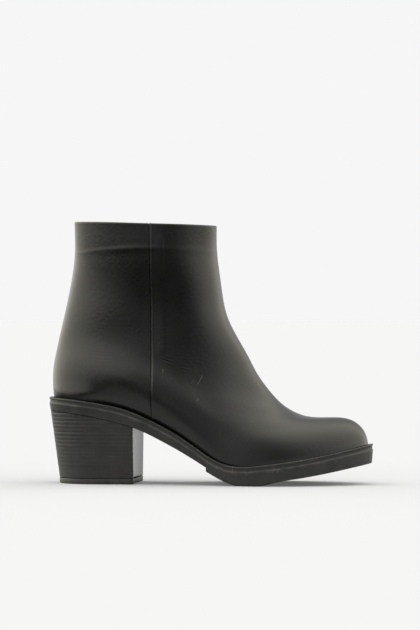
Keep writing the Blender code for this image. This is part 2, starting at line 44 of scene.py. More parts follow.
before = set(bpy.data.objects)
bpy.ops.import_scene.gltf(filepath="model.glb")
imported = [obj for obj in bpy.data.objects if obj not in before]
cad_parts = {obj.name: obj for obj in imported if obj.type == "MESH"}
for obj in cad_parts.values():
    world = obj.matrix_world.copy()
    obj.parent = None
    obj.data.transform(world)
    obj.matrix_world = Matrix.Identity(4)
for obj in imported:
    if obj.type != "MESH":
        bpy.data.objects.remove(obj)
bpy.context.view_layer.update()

MM = 0.001

# The last and the sole, as in the solids
SOLE_LENGTH = 248.4
LEDGE = 3.6
BALL_WIDTH = 77.0
GAP = 0.3
FEATHER_LENGTH = SOLE_LENGTH - 2 * LEDGE
HEEL_END = -FEATHER_LENGTH / 2
TOE_END = FEATHER_LENGTH / 2
HEEL_CURVE = 29.0
TOE_CURVE = 66.0
TOE_POWER = 2.1

# Feather line from above: share of its length, then outer and inner shares of the ball's width
FEATHER = np.array([
    (0.00, 0.370, 0.370),
    (0.18, 0.372, 0.368),
    (0.32, 0.388, 0.338),
    (0.45, 0.430, 0.325),
    (0.56, 0.495, 0.375),
    (0.66, 0.535, 0.450),
    (0.76, 0.520, 0.497),
    (0.88, 0.460, 0.480),
    (1.00, 0.400, 0.440),
])

# Side view of the sole: place along, height
SOLE_TOP = np.array([
    (-124.2, 65.9),
    (-104.0, 64.4),
    (-87.0, 62.2),
    (-62.0, 57.0),
    (-41.0, 48.5),
    (-21.0, 37.8),
    (-3.5, 26.2),
    (10.0, 18.2),
    (21.0, 15.1),
    (31.0, 14.7),
    (44.0, 15.8),
    (65.0, 18.6),
    (86.0, 22.3),
    (105.0, 26.4),
    (124.2, 31.0),
])
SHANK_BOTTOM = np.array([
    (-124.2, 56.4),
    (-102.0, 53.6),
    (-83.0, 50.4),
    (-69.0, 47.2),
    (-55.0, 43.0),
    (-46.0, 39.4),
    (-33.0, 33.0),
    (-16.5, 24.2),
    (0.0, 14.4),
    (4.0, 12.0),
])
TREAD_BOTTOM = np.array([
    (-1.0, 12.0),
    (11.0, 5.3),
    (17.0, 2.5),
    (22.0, 0.8),
    (26.0, 0.0),
    (42.0, 0.0),
    (48.0, 1.4),
    (54.0, 2.9),
    (72.0, 6.0),
    (102.0, 11.8),
    (124.2, 16.8),
])
TREAD_START = 1.5
TREAD_FLAT = (26.0, 42.0)

# Side view of the upper's back and front lines, from the collar down
ON_SOLE = math.nan
BACK = np.array([
    (-105.2, 199.8),
    (-104.4, 180.0),
    (-106.0, 162.0),
    (-111.0, 136.5),
    (-116.4, 115.0),
    (-120.7, 94.5),
    (-121.6, 80.0),
    (HEEL_END, ON_SOLE),
])
FRONT = np.array([
    (4.8, 197.2),
    (4.9, 178.5),
    (6.4, 162.5),
    (10.2, 137.0),
    (16.9, 118.6),
    (25.2, 103.4),
    (31.0, 92.6),
    (36.2, 83.2),
    (43.3, 73.3),
    (49.5, 65.8),
    (56.0, 59.7),
    (64.0, 54.9),
    (73.0, 51.9),
    (84.0, 51.0),
    (98.0, 51.0),
    (109.8, 48.0),
    (117.8, 40.2),
    (TOE_END, 30.8),
])

# The upper by the share of its height: the leg's half width and its share against the foot's, where
# the back's rounding ends along it and how full it is, where the front's starts and how full it is,
# and how far its middle stands aside.
SHAFT = np.array([
    (0.00, 32.3, 0.11, 0.24, 2.02, 0.815, 2.17, 0.0),
    (0.06, 33.6, 0.14, 0.31, 1.86, 0.767, 2.06, 0.3),
    (0.12, 35.1, 0.33, 0.37, 1.85, 0.716, 1.80, 0.9),
    (0.18, 36.2, 0.53, 0.42, 1.84, 0.673, 1.73, 1.5),
    (0.24, 35.6, 0.67, 0.45, 1.84, 0.640, 1.83, 2.1),
    (0.30, 33.8, 0.78, 0.46, 1.85, 0.605, 1.98, 2.4),
    (0.38, 32.2, 0.92, 0.45, 1.88, 0.540, 1.96, 2.2),
    (0.48, 31.4, 1.00, 0.43, 1.91, 0.490, 1.92, 1.6),
    (0.60, 31.0, 1.00, 0.42, 1.95, 0.480, 1.93, 0.9),
    (0.75, 31.5, 1.00, 0.42, 1.97, 0.485, 1.97, 0.2),
    (0.88, 32.1, 1.00, 0.43, 1.98, 0.490, 1.92, 0.0),
    (1.00, 31.5, 1.00, 0.44, 2.00, 0.500, 1.90, 0.0),
])

# What the foot stands out beyond the feather line, by the share along it
BULGE = np.array([
    (0.00, 1.3),
    (0.20, -0.1),
    (0.40, 3.8),
    (0.55, 5.6),
    (0.70, 1.7),
    (0.85, -0.1),
    (1.00, 0.25),
])
RISE = 0.13  # share of the height in which the feather line gives way to the body
RISE_POWER = 1.7
ASIDE_RISE = 0.35  # share of the height in which the feather line's middle is left behind

# Swell of the lasted leather over the sole's edge, by the share along it, with the height of its
# peak at the back and ahead and the height where it ends
SWELL = np.array([
    (0.00, 0.1),
    (0.12, 0.8),
    (0.25, 1.6),
    (0.40, 2.5),
    (0.55, 1.5),
    (0.70, -0.3),
    (0.85, 0.0),
    (1.00, 0.0),
])
SWELL_PEAK = (26.0, 18.0)
SWELL_END = 48.0
SWELL_TURN = (0.2, 0.7)  # shares along between which the peak's height changes
FULL_HALF = 20.0  # half width from which stiffener and swell stand out in full

# How far the soft collar leans out, by the share along it, and where that starts on the way up
COLLAR = np.array([
    (0.00, 0.0),
    (0.25, 1.2),
    (0.50, -0.1),
    (0.75, -0.4),
    (1.00, 0.0),
])
COLLAR_START = 0.8

# Heel stiffener under the leather: how far it stands out, and its top edge at the back and ahead
STIFFENER = 0.8
STIFFENER_BACK = (-118.0, 101.4)
STIFFENER_AHEAD = (-45.0, 84.6)
STIFFENER_SOFT = 6.5
STIFFENER_FADE = (-62.0, -30.0)  # places along between which it fades out
STIFFENER_FOOT = 0.06  # share of the height in which it sets in over the sole

SEAM_TOP_X = -42.2
SEAM_FOOT_X = -40.2
COLLAR_DIP = 0.3
DROP_POWER = 2.0
ZIP_SLOT = 8.4
ZIP_FOOT_Z = 75.4  # lower end of the zip's slot
TAPE_SINK = 0.7
TAPE_THICK = 0.9

HEEL_BREAST_X = -55.8
HEEL_INSET = 1.0
HEEL_BACK_TAPER = 7.0
HEEL_SIDE_TAPER = 4.0
BREAST_HOLLOW = 1.4
LIFT_THICK = 4.2
INSOLE_THICK = 2.5
INSOLE_INSET = 3.4


# Shape of the last


def curve(table, at, column=1):
    """Natural cubic spline through a table's rows: its bend is 0 at both ends and never jumps."""
    knots, values = table[:, 0], table[:, column]
    step = np.diff(knots)
    inner = np.arange(1, len(knots) - 1)
    system = np.eye(len(knots))
    system[inner, inner - 1] = step[:-1]
    system[inner, inner] = 2 * (step[:-1] + step[1:])
    system[inner, inner + 1] = step[1:]
    turns = np.concatenate([[0], 6 * np.diff(np.diff(values) / step), [0]])
    bend = np.linalg.solve(system, turns)
    at = np.clip(at, knots[0], knots[-1])
    i = np.clip(np.searchsorted(knots, at, side="right") - 1, 0, len(knots) - 2)
    width, before, after = step[i], at - knots[i], knots[i + 1] - at
    cubic = (bend[i] * after**3 + bend[i + 1] * before**3) / (6 * width)
    low = values[i] / width - bend[i] * width / 6
    high = values[i + 1] / width - bend[i + 1] * width / 6
    return cubic + low * after + high * before


def ease(low, high, at):
    """0 up to low, 1 from high on, and an S-shaped cubic between."""
    u = np.clip((at - low) / (high - low), 0, 1)
    return u * u * (3 - 2 * u)


def bell(at, middle, soft):
    """Bell curve of height 1."""
    return np.exp(-(((at - middle) / soft) ** 2))


def dome(share, power):
    """1 at share 0 and 0 at share 1, round like a superellipse."""
    return (1 - np.clip(share, 0, 1) ** power) ** (1 / power)


def unit(vectors):
    """Vectors made 1 long."""
    return vectors / np.linalg.norm(vectors, axis=-1, keepdims=True)


def sole_top(x):
    return curve(SOLE_TOP, x)


def feather_edges(x):
    """Outer and inner feather lines, out from the axis: the table, rounded at heel and toe."""
    along = (x - HEEL_END) / FEATHER_LENGTH
    back = np.clip((HEEL_END + HEEL_CURVE - x) / HEEL_CURVE, 0, 1)
    toe = dome((x - (TOE_END - TOE_CURVE)) / TOE_CURVE, TOE_POWER)
    ends = np.sqrt(1 - back**2) * toe * BALL_WIDTH
    return curve(FEATHER, along, 1) * ends, curve(FEATHER, along, 2) * ends


def by_length(table):
    """A side-view line from its foot up, through its table: shares of its length, x and z."""
    rows = np.column_stack([np.arange(len(table)), table])
    on_sole = np.isnan(table[:, 1])
    rows[on_sole, 2] = sole_top(table[on_sole, 0]) + GAP
    at = np.linspace(len(table) - 1, 0, 1500)
    x, z = curve(rows, at, 1), curve(rows, at, 2)
    length = np.concatenate([[0], np.cumsum(np.hypot(np.diff(x), np.diff(z)))])
    return length / length[-1], x, z


BACK_LINE = by_length(BACK)
FRONT_LINE = by_length(FRONT)
SEAM_FOOT_Z = float(sole_top(np.array(SEAM_FOOT_X))) + GAP
SEAM_SHARE = (SEAM_TOP_X - BACK[0, 0]) / (FRONT[0, 0] - BACK[0, 0])
SEAM_TOP_Z = BACK[0, 1] + (FRONT[0, 1] - BACK[0, 1]) * SEAM_SHARE - COLLAR_DIP


def seam_x(up):
    return SEAM_FOOT_X + (SEAM_TOP_X - SEAM_FOOT_X) * up


def side_view(along, up):
    """Side-view point: a parabola through back line, seam and front line, drawn to the sole."""
    back = (2 * along - 1) * (along - 1)
    seam = 4 * along * (1 - along)
    front = along * (2 * along - 1)

    def through_lines(share):
        seam_z = SEAM_FOOT_Z + (SEAM_TOP_Z - SEAM_FOOT_Z) * share
        x = back * np.interp(share, BACK_LINE[0], BACK_LINE[1])
        x += seam * seam_x(share) + front * np.interp(share, FRONT_LINE[0], FRONT_LINE[1])
        z = back * np.interp(share, BACK_LINE[0], BACK_LINE[2])
        z += seam * seam_z + front * np.interp(share, FRONT_LINE[0], FRONT_LINE[2])
        return x, z

    x, z = through_lines(up)
    foot_x, foot_z = through_lines(np.zeros_like(up))
    return x, z + (sole_top(foot_x) + GAP - foot_z) * (1 - up) ** DROP_POWER


def stiffener(x, z, up):
    """Soft step out below the stiffener's top edge, which slopes down ahead and fades out there."""
    slope = (STIFFENER_AHEAD[1] - STIFFENER_BACK[1]) / (STIFFENER_AHEAD[0] - STIFFENER_BACK[0])
    edge = STIFFENER_BACK[1] + slope * (x - STIFFENER_BACK[0])
    below = 1 - ease(edge - STIFFENER_SOFT, edge + STIFFENER_SOFT, z)
    return STIFFENER * below * (1 - ease(*STIFFENER_FADE, x)) * ease(0, STIFFENER_FOOT, up)


def swell(along, x, z):
    """Swell over the sole's edge: a quarter sine up to its peak, then half a cosine to its end."""
    above = z - sole_top(x) - GAP
    peak = SWELL_PEAK[0] + (SWELL_PEAK[1] - SWELL_PEAK[0]) * ease(*SWELL_TURN, along)
    rise = np.sin(np.pi / 2 * np.clip(above / peak, 0, 1))
    fall = 0.5 + 0.5 * np.cos(np.pi * np.clip((above - peak) / (SWELL_END - peak), 0, 1))
    return curve(SWELL, along) * np.where(above < peak, rise, fall)


def breadth(along, up, x, z):
    """Middle and half width of the upper.

    The body is as wide as leg and foot together, by the leg's share, rounded off like a
    superellipse to the back and to the front. From the feather line it takes over in a short rise.
    """
    leg, leg_share, back_end, back_full, front_start, front_full, aside = (
        curve(SHAFT, up, column) for column in range(1, SHAFT.shape[1])
    )
    foot_x = side_view(along, np.zeros_like(up))[0]
    outer, inner = feather_edges(foot_x)
    share = (foot_x - HEEL_END) / FEATHER_LENGTH
    foot_wide = (curve(FEATHER, share, 1) + curve(FEATHER, share, 2)) / 2 * BALL_WIDTH
    foot_wide = foot_wide + curve(BULGE, along)
    wide = foot_wide * (1 - leg_share) + leg * leg_share
    back = dome((back_end - along) / back_end, back_full)
    front = dome((along - front_start) / (1 - front_start), front_full)
    foot = (outer + inner) / 2
    body = wide * back * front
    half = foot + (body - foot) * dome(1 - up / RISE, RISE_POWER)
    half = half + (stiffener(x, z, up) + swell(along, x, z)) * np.clip(half / FULL_HALF, 0, 1)
    near_collar = np.clip((up - COLLAR_START) / (1 - COLLAR_START), 0, 1)
    half = half + curve(COLLAR, along) * near_collar**2
    return (inner - outer) / 2 * (1 - ease(0, ASIDE_RISE, up)) + aside, half


def upper_points(along, up, side):
    """Points of the upper's face, half a breadth out from the middle. side is -1 outer, 1 inner."""
    along, up = np.broadcast_arrays(np.asarray(along, float), np.asarray(up, float))
    x, z = side_view(along, up)
    middle, half = breadth(along, up, x, z)
    half = np.where((along <= 0) | (along >= 1), 0, half)
    return np.stack([x, middle + side * half, z], axis=-1)


def along_at_seam(ahead, up):
    """Place along the upper that lies so many millimetres ahead of the seam."""
    nudge = 0.01
    front = side_view(np.full_like(up, 0.5 + nudge), up)[0]
    back = side_view(np.full_like(up, 0.5 - nudge), up)[0]
    return 0.5 + ahead * 2 * nudge / (front - back)


def upper_normals(along, up, side):
    """Outward normals of the upper's face, square to small steps along and up it."""
    nudge = 0.004
    run = upper_points(along + nudge, up, side) - upper_points(along - nudge, up, side)
    rise = upper_points(along, up + nudge, side) - upper_points(along, up - nudge, side)
    return unit(np.cross(run, rise) * -side)


UP_LIMIT = 0.994  # a step below the collar, where steps both ways stay on the face


def on_zip_side(ahead, z):
    """Points and normals of the inner side's face, so far ahead of the zip and at that height."""
    up = (z - SEAM_FOOT_Z) / (SEAM_TOP_Z - SEAM_FOOT_Z)
    for _ in range(5):
        now = side_view(along_at_seam(ahead, up), up)[1]
        up = up + (z - now) / (SEAM_TOP_Z - SEAM_FOOT_Z)
    along = along_at_seam(ahead, up)
    return upper_points(along, up, 1), upper_normals(along, np.minimum(up, UP_LIMIT), 1)


def axis_offset():
    """Middle of the sole's box across the boot's axis."""
    outer, inner = feather_edges(np.linspace(HEEL_END, TOE_END, 400))
    return (inner.max() - outer.max()) / 2


AXIS_Y = axis_offset()


def to_metres(points):
    """Millimetres about the boot's axis into metres about the middle of the sole's box."""
    return (np.asarray(points, float) - (0, AXIS_Y, 0)) * MM


# Meshes


def grid_quads(rows, columns, wrap_rows=False):
    """Corner numbers of the quads of a grid that wraps round its columns, numbered row by row."""
    r = np.arange(rows if wrap_rows else rows - 1)[:, None]
    c = np.arange(columns)[None, :]
    r2, c2 = (r + 1) % rows, (c + 1) % columns
    corners = [r * columns + c, r * columns + c2, r2 * columns + c2, r2 * columns + c]
    return np.stack(np.broadcast_arrays(*corners), axis=-1).reshape(-1, 4)


def grid_normals(points):
    """Normals of a grid that wraps round its columns, square to its neighbours' differences."""
    run = np.roll(points, -1, axis=1) - np.roll(points, 1, axis=1)
    return unit(np.cross(run, np.gradient(points, axis=0)))


def outline_loop(places):
    """Feather outline from above: back, outer side, toe tip, and back along the inner side."""
    outer, inner = feather_edges(places)
    ahead = np.stack([places, -outer], axis=-1)
    behind = np.stack([places, inner], axis=-1)[-2:0:-1]
    return np.vstack([ahead, behind])


def spread(loop, distance):
    """Outline moved outwards, square to itself."""
    run = np.roll(loop, -1, axis=0) - np.roll(loop, 1, axis=0)
    return loop + distance * unit(np.stack([run[:, 1], -run[:, 0]], axis=-1))


def drawn_in(ring, shares):
    """Copies of a ring drawn in towards the line midway between its two sides, by each share."""
    middle = (ring + np.roll(ring[::-1], 1, axis=0)) / 2
    return ring + (middle - ring) * np.asarray(shares)[:, None, None]


def spaced(*runs):
    """Evenly spaced runs of places, one after another: start, end and count of each."""
    return np.concatenate([np.linspace(*run) for run in runs])


# In metres: points nearer than this are merged, and edges shorter than this are dissolved
MERGE_DISTANCE = 2e-6
LEAST_EDGE = 1e-7

# Finishes by name, made by the operator for them
FINISHES = {}


def add_piece(
    name, points, finishes, nodes=(), quads=None, finish_of=None, marks=None, sharp=40
):
    """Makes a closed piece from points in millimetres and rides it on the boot.

    Unless quads are given, the points are rings that are joined each to the next.
    """
    if quads is None:
        quads = grid_quads(*points.shape[:2])
    mesh = bpy.data.meshes.new(name)
    mesh.from_pydata(to_metres(points).reshape(-1, 3).tolist(), [], quads.tolist())
    for finish in finishes:
        mesh.materials.append(FINISHES[finish])
    if finish_of is not None:
        mesh.polygons.foreach_set("material_index", np.asarray(finish_of, dtype=np.int32))
    for mark, values in (marks or {}).items():
        layer = mesh.attributes.new(mark, "FLOAT", "POINT")
        layer.data.foreach_set("value", np.asarray(values, dtype=np.float32).ravel())
    bm = bmesh.new()
    bm.from_mesh(mesh)
    bmesh.ops.remove_doubles(bm, verts=bm.verts, dist=MERGE_DISTANCE)
    bmesh.ops.dissolve_degenerate(bm, edges=bm.edges, dist=LEAST_EDGE)
    bmesh.ops.recalc_face_normals(bm, faces=bm.faces)
    bm.to_mesh(mesh)
    bm.free()
    mesh.shade_smooth()
    mesh.set_sharp_from_angle(angle=math.radians(sharp))
    piece = bpy.data.objects.new(name, mesh)
    bpy.context.scene.collection.objects.link(piece)
    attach(piece, "boot")
    if nodes:
        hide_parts(*nodes)


# Upper


# Where courses lie closer for fine relief: share of the height, softness, how much closer
CLOSE_COURSES = (
    (0.31, 0.07, 1.4),
    (0.86, 0.022, 1.6),
    (0.0, 0.03, 1.5),
    (1.0, 0.02, 1.0),
)


def courses(count, top):
    """Heights of the courses, spaced by the running sum of a density made of bell curves."""
    up = np.linspace(0, 1, 4000)
    density = 1 + sum(more * bell(up, middle, soft) for middle, soft, more in CLOSE_COURSES)
    total = np.cumsum(density)
    total = (total - total[0]) / (total[-1] - total[0])
    return np.interp(np.linspace(0, 1, count), total, up) * top


COLUMN_STEP = 0.004  # share along from the close columns to the first of the others


def columns_of_side(up, ahead, behind_count, front_count):
    """Places along one side: set distances from the seam, and sine steps to back and front."""
    near = np.stack([along_at_seam(a, up) for a in ahead], axis=-1)
    turn = np.linspace(0, np.pi / 2, behind_count + 1)[:-1]
    back = (near[:, :1] - COLUMN_STEP) * (1 - np.cos(turn))
    turn = np.linspace(0, np.pi / 2, front_count + 1)[1:]
    front = near[:, -1:] + COLUMN_STEP + (1 - near[:, -1:] - COLUMN_STEP) * np.sin(turn)
    return np.hstack([back, near, front])


SEAM_COLUMNS = spaced((-13, -3.2, 8), (-2.6, 2.6, 27), (3.2, 8.6, 7), (9.0, 11.0, 9), (11.8, 14, 3))
ZIP_COLUMNS = spaced((-10, -5.4, 8), (-4.9, -3.5, 9), (-2.8, 2.8, 5), (3.5, 4.9, 9), (5.4, 10, 8))

# Seam: softness of its ridge, then place, softness and depth of the fold line behind it
SEAM_SOFT = 0.7
SEAM_FOLD = (-0.95, 0.4, 0.55)

# Collar's facing: highest place of its lower edge, how fast that falls away, the ridge's softness
# above and below it, where along it is strongest and its least share elsewhere
FACING_PEAK = (-44.0, 179.4)
FACING_FALL = 0.0012
FACING_SOFT = (1.5, 3.0)
FACING_STRONG = (-54.0, 18.0)
FACING_LEAST = 0.3

# Strip that backs the seam: its height, and where it rises and ends, ahead of the seam and upwards
STRIP = 0.28
STRIP_RISE = (1.0, 8.0)
STRIP_STEP = (8.9, 11.1)
STRIP_FOOT = (94.0, 104.0)
STRIP_TOP = (184.0, 192.0)

# Patches of ankle wrinkles: middle along and up, softness along and up, share of the depth
WRINKLES = (
    (-15, 93, 15, 6.5, 1.0),
    (-75, 97, 10, 5, 0.5),
)
WRINKLE_PITCH = 2.5

# Round the zip's slot: how far it is pressed in and over which soft edge, then place outside the
# slot, softness and height of the hem and of the stitch line
ZIP_PRESSED = 1.9
ZIP_EDGE = (-0.35, 0.3)
ZIP_HEM = (1.1, 0.9, 0.3)
STITCH_LINE = (2.5, 0.5, -0.16)
ZIP_REACH = 12.0  # distance from the zip's middle up to which it shapes the leather

RELIEF_FOOT = (-0.002, 0.012)  # shares of the height between which relief sets in over the sole
DEEPEST = 0.95  # share of the wall that relief may take away


def seam_relief(ahead, height):
    """Closed seam: a narrow bell-shaped ridge with a fold line along its back."""
    place, soft, depth = SEAM_FOLD
    return height * bell(ahead, 0, SEAM_SOFT) - depth * bell(ahead, place, soft)


def facing_relief(x, z, height):
    """Collar facing under the leather: a soft ridge on its bowed edge, strongest by the seam."""
    edge = FACING_PEAK[1] - FACING_FALL * (x - FACING_PEAK[0]) ** 2
    ridge = np.where(z > edge, bell(z, edge, FACING_SOFT[0]), bell(z, edge, FACING_SOFT[1]))
    return height * ridge * (FACING_LEAST + (1 - FACING_LEAST) * bell(x, *FACING_STRONG))


def strip_relief(ahead, z):
    """Strip that backs the seam: a low plateau that rises slowly and ends in a soft step."""
    across = ease(*STRIP_RISE, ahead) * (1 - ease(*STRIP_STEP, ahead))
    return STRIP * across * ease(*STRIP_FOOT, z) * (1 - ease(*STRIP_TOP, z))


def wrinkle_relief(x, z, depth):
    """Fine ankle wrinkles: waves across the leg, bent along it, inside soft-edged patches."""
    bend = z + 0.16 * (x + 16) + 0.9 * np.sin(x / 5.3) + 0.5 * np.sin(x / 2.1 + 1.3)
    broken = 0.6 + 0.4 * np.sin(x / 3.7 + z / 2.3)
    patches = sum(
        share * bell(x, middle_x, soft_x) * bell(z, middle_z, soft_z)
        for middle_x, middle_z, soft_x, soft_z, share in WRINKLES
    )
    return depth * patches * broken * np.sin(2 * np.pi * bend / WRINKLE_PITCH)


def hand_relief(x, z):
    """Slow unevenness of lasted leather: three long waves."""
    return (
        0.16 * np.sin(x / 17 + 0.7) * np.sin(z / 23 + 1.1)
        + 0.10 * np.sin(x / 9.5 - z / 13)
        + 0.08 * np.sin(z / 8.3 + x / 31 + 2.0)
    )


def zip_relief(ahead, z):
    """Slot for the zip: pressed in inside a rectangle, with a hem and a stitch line round it."""
    outside = np.maximum(np.abs(ahead) - ZIP_SLOT / 2, ZIP_FOOT_Z - z)
    relief = -ZIP_PRESSED * (1 - ease(*ZIP_EDGE, outside))
    for place, soft, height in (ZIP_HEM, STITCH_LINE):
        relief = relief + height * bell(outside, place, soft)
    return relief


# Scratches on the outer side: place along, height, half length, lean ahead for a step up, strength
LEATHER_SCRATCHES = (
    (-4.6, 79.4, 3.4, 0.5, 0.4),
    (-9.6, 78.6, 1.8, 0.6, 0.2),
    (-32.4, 86.2, 1.4, -0.1, 0.4),
    (-32.6, 82.4, 1.8, 0.15, 0.15),
    (-5.6, 64.6, 0.9, 0.8, 0.35),
)
SOLE_SCRATCHES = (
    (9.5, 14.6, 1.4, 0.9, 0.35),
    (12.2, 14.2, 1.2, -0.9, 0.25),
    (21.6, 13.2, 2.0, 0.05, 0.4),
    (31.5, 10.2, 1.6, -1.1, 0.25),
    (53.0, 13.6, 2.0, -1.6, 0.35),
    (56.2, 12.0, 1.8, 0.5, 0.4),
    (59.0, 11.6, 1.5, -1.3, 0.3),
    (81.0, 19.6, 2.6, 5.0, 0.3),
    (98.0, 19.4, 1.6, -1.4, 0.3),
)


def upper_rings(shape, outer_rows=190, inner_rows=42, rim_steps=8):
    """Rings of the upper's closed wall, and how many of them are leather.

    The face runs up to the collar with its relief along its normals, the rim is half a circle over
    the wall, and the lining runs down again one wall inside the plain face.
    """
    thick = shape.wall / MM
    collar_round = 1 - 0.5 * thick / (SEAM_TOP_Z - SEAM_FOOT_Z)
    up = courses(outer_rows, collar_round)
    outer = columns_of_side(up, SEAM_COLUMNS, 48, 80)
    inner = columns_of_side(up, ZIP_COLUMNS, 46, 76)
    outer_face = upper_points(outer, up[:, None], -1)
    inner_face = upper_points(inner, up[:, None], 1)[:, -2:0:-1]
    face = np.concatenate([outer_face, inner_face], axis=1)
    normals = grid_normals(face)
    x, z = face[..., 0], face[..., 2]
    ahead = x - seam_x(up)[:, None]
    on_outer = np.arange(face.shape[1]) < outer.shape[1]
    outer_relief = seam_relief(ahead, shape.seam / MM) + strip_relief(ahead, z)
    outer_relief += wrinkle_relief(x, z, shape.wrinkle / MM)
    inner_relief = np.where(np.abs(ahead) < ZIP_REACH, zip_relief(ahead, z), 0)
    relief = facing_relief(x, z, shape.facing / MM) + hand_relief(x, z)
    relief += np.where(on_outer, outer_relief, inner_relief)
    relief *= ease(*RELIEF_FOOT, up)[:, None]
    relief = np.maximum(relief, -DEEPEST * thick)
    leather = face + relief[..., None] * normals
    radius = (thick + relief[-1])[:, None] / 2
    turn = np.linspace(0, np.pi, rim_steps + 2)[1:-1, None, None]
    centre = leather[-1] - normals[-1] * radius
    rim = centre + radius * (np.cos(turn) * normals[-1] + np.sin(turn) * unit(face[-1] - face[-3]))
    pick = np.unique(np.linspace(0, 1, inner_rows) ** 1.2 * (outer_rows - 1) // 1).astype(int)[::-1]
    lining = (face - thick * normals)[pick]
    lining[-1, :, 2] = sole_top(lining[-1, :, 0]) + GAP
    return np.concatenate([leather, rim, lining]), len(leather) + len(rim)


# Sole, heel and insole


STEP_APART = 0.06  # from the tread's step to the stations at either side of it
STEP_CLEAR = 0.6  # no other station is nearer to the step


def even_places(count):
    """Stations along the feather line, spaced like a cosine, closest at its ends."""
    return -np.cos(np.linspace(0, np.pi, count)) * FEATHER_LENGTH / 2


def sole_places(count):
    """Stations along the sole, with a pair at the tread's step."""
    even = even_places(count)
    far = np.abs(even - TREAD_START) > STEP_CLEAR
    pair = [TREAD_START - STEP_APART, TREAD_START + STEP_APART]
    return np.sort(np.concatenate([even[far], pair]))


def sole_bottom(x, on_tread):
    """Height of the sole's underside: the tread's line, level where it stands, or the shank's."""
    flat = (x > TREAD_FLAT[0]) & (x < TREAD_FLAT[1])
    tread = np.where(flat, 0, np.maximum(curve(TREAD_BOTTOM, x), 0))
    return np.where(on_tread, tread, curve(SHANK_BOTTOM, x))


# Side wall of the sole. The lip's rows are out from its edge, down from the top, and rub; the
# foot's are out, up from the bottom, and rub. The band's are shares of the way between the two.
# The rub is dust and wear; along the lip's top edge and the edge of its step it is also a painted
# highlight.
LIP = np.array([
    (-1.3, 0.0, 0.0),
    (-0.7, 0.04, 0.1),
    (-0.25, 0.22, 0.3),
    (0.0, 0.6, 0.5),
    (0.0, 1.0, 0.5),
    (-0.1, 1.35, 0.3),
    (-0.5, 1.6, 0.0),
    (-0.55, 1.9, 0.0),
    (-0.55, 2.8, 0.0),
    (-0.55, 3.7, 0.0),
    (-0.42, 4.0, 0.5),
    (-0.08, 4.25, 0.9),
    (0.0, 4.6, 0.6),
])
BAND = np.array([0.2, 0.4, 0.6, 0.8])
FOOT = np.array([
    (-0.75, 0.9, 0.3),
    (-0.9, 0.45, 0.6),
    (-1.2, 0.15, 0.8),
    (-1.8, 0.0, 0.5),
])
BAND_RUB = 0.15
BOTTOM_RUB = 0.25

# Cross grooves of the tread: distance from one to the next, depth, where their walls start and end,
# and where they set in and stop along the tread
GROOVE_PITCH = 6.0
GROOVE_DEPTH = 0.7
GROOVE_WALL = (0.5, 1.1)
GROOVE_START = (8.0, 14.0)
GROOVE_END = (104.0, 110.0)


def bottom_grooves(x, on_tread):
    """Depth of the tread's cross grooves, evenly apart with soft walls, on the tread alone."""
    off = np.abs((x / GROOVE_PITCH) % 1 - 0.5) * GROOVE_PITCH
    along = on_tread * ease(*GROOVE_START, x) * (1 - ease(*GROOVE_END, x))
    return GROOVE_DEPTH * (1 - ease(*GROOVE_WALL, off)) * along


def sole_rings():
    """Rings round the sole, and the rub on each point: dust and wear, and painted highlight along
    the lip's top edge and its step's edge.

    The feather outline is spread to each row of lip, band and foot. Top and bottom close it, drawn
    in to the line midway between its sides, and the bottom is grooved.
    """
    base = outline_loop(sole_places(300))
    on_tread = base[:, 0] > TREAD_START
    outs = np.concatenate([LIP[:, 0], FOOT[0, 0] * BAND, FOOT[:, 0]])
    loops = np.array([spread(base, LEDGE + out) for out in outs])
    top_z = sole_top(loops[..., 0])
    bottom_z = sole_bottom(base[:, 0], on_tread)
    band = slice(len(LIP), len(LIP) + len(BAND))
    high, low = top_z[band] - LIP[-1, 1], bottom_z + FOOT[0, 1]
    z = np.concatenate([
        top_z[:len(LIP)] - LIP[:, 1:2],
        high + (low - high) * BAND[:, None],
        bottom_z + FOOT[:, 1:2],
    ])
    rings = np.concatenate([loops, z[..., None]], axis=-1)
    shares = np.linspace(0, 1, 15)[1:]
    bottom = drawn_in(rings[-1], shares)
    bottom[..., 2] += bottom_grooves(bottom[..., 0], on_tread) * ease(0.1, 0.2, shares)[:, None]
    top = drawn_in(rings[0], [1, 0.5, 0.12])
    stack = np.concatenate([top, rings, bottom])
    rub_and_sheen = np.concatenate([
        np.zeros(len(top)),
        LIP[:, 2],
        np.full(len(BAND), BAND_RUB),
        FOOT[:, 2],
        np.full(len(bottom), BOTTOM_RUB),
    ])
    return stack, np.broadcast_to(rub_and_sheen[:, None], stack.shape[:2])


HEEL_CORNER = 0.9  # radius between the heel's side and its breast


def heel_loop(drop):
    """D-shaped outline of the heel at a share of the way down.

    A round back, a straight side, a rounded corner and a breast hollowed like a parabola, and the
    same mirrored.
    """
    outer, _ = feather_edges(np.array(HEEL_END + HEEL_CURVE))
    half = outer + LEDGE - HEEL_INSET - HEEL_SIDE_TAPER * drop
    back = HEEL_END - LEDGE + HEEL_INSET + HEEL_BACK_TAPER * drop
    turn = np.linspace(0, np.pi / 2, 46)
    arc = np.stack([back + half * (1 - np.cos(turn)), -half * np.sin(turn)], axis=-1)
    side_x = np.linspace(arc[-1, 0], HEEL_BREAST_X - HEEL_CORNER, 18)[1:]
    side = np.stack([side_x, np.full_like(side_x, -half)], axis=-1)
    bend = np.linspace(0, np.pi / 2, 6)[1:]
    middle = np.array([HEEL_BREAST_X - HEEL_CORNER, -half + HEEL_CORNER])
    corner = middle + HEEL_CORNER * np.stack([np.sin(bend), -np.cos(bend)], axis=-1)
    y = np.linspace(-half + HEEL_CORNER, 0, 16)[1:]
    breast_x = HEEL_BREAST_X - BREAST_HOLLOW * (1 - (y / (-half + HEEL_CORNER)) ** 2)
    ahead = np.vstack([arc, side, corner, np.stack([breast_x, y], axis=-1)])
    return np.vstack([ahead, ahead[-2:0:-1] * (1, -1)])


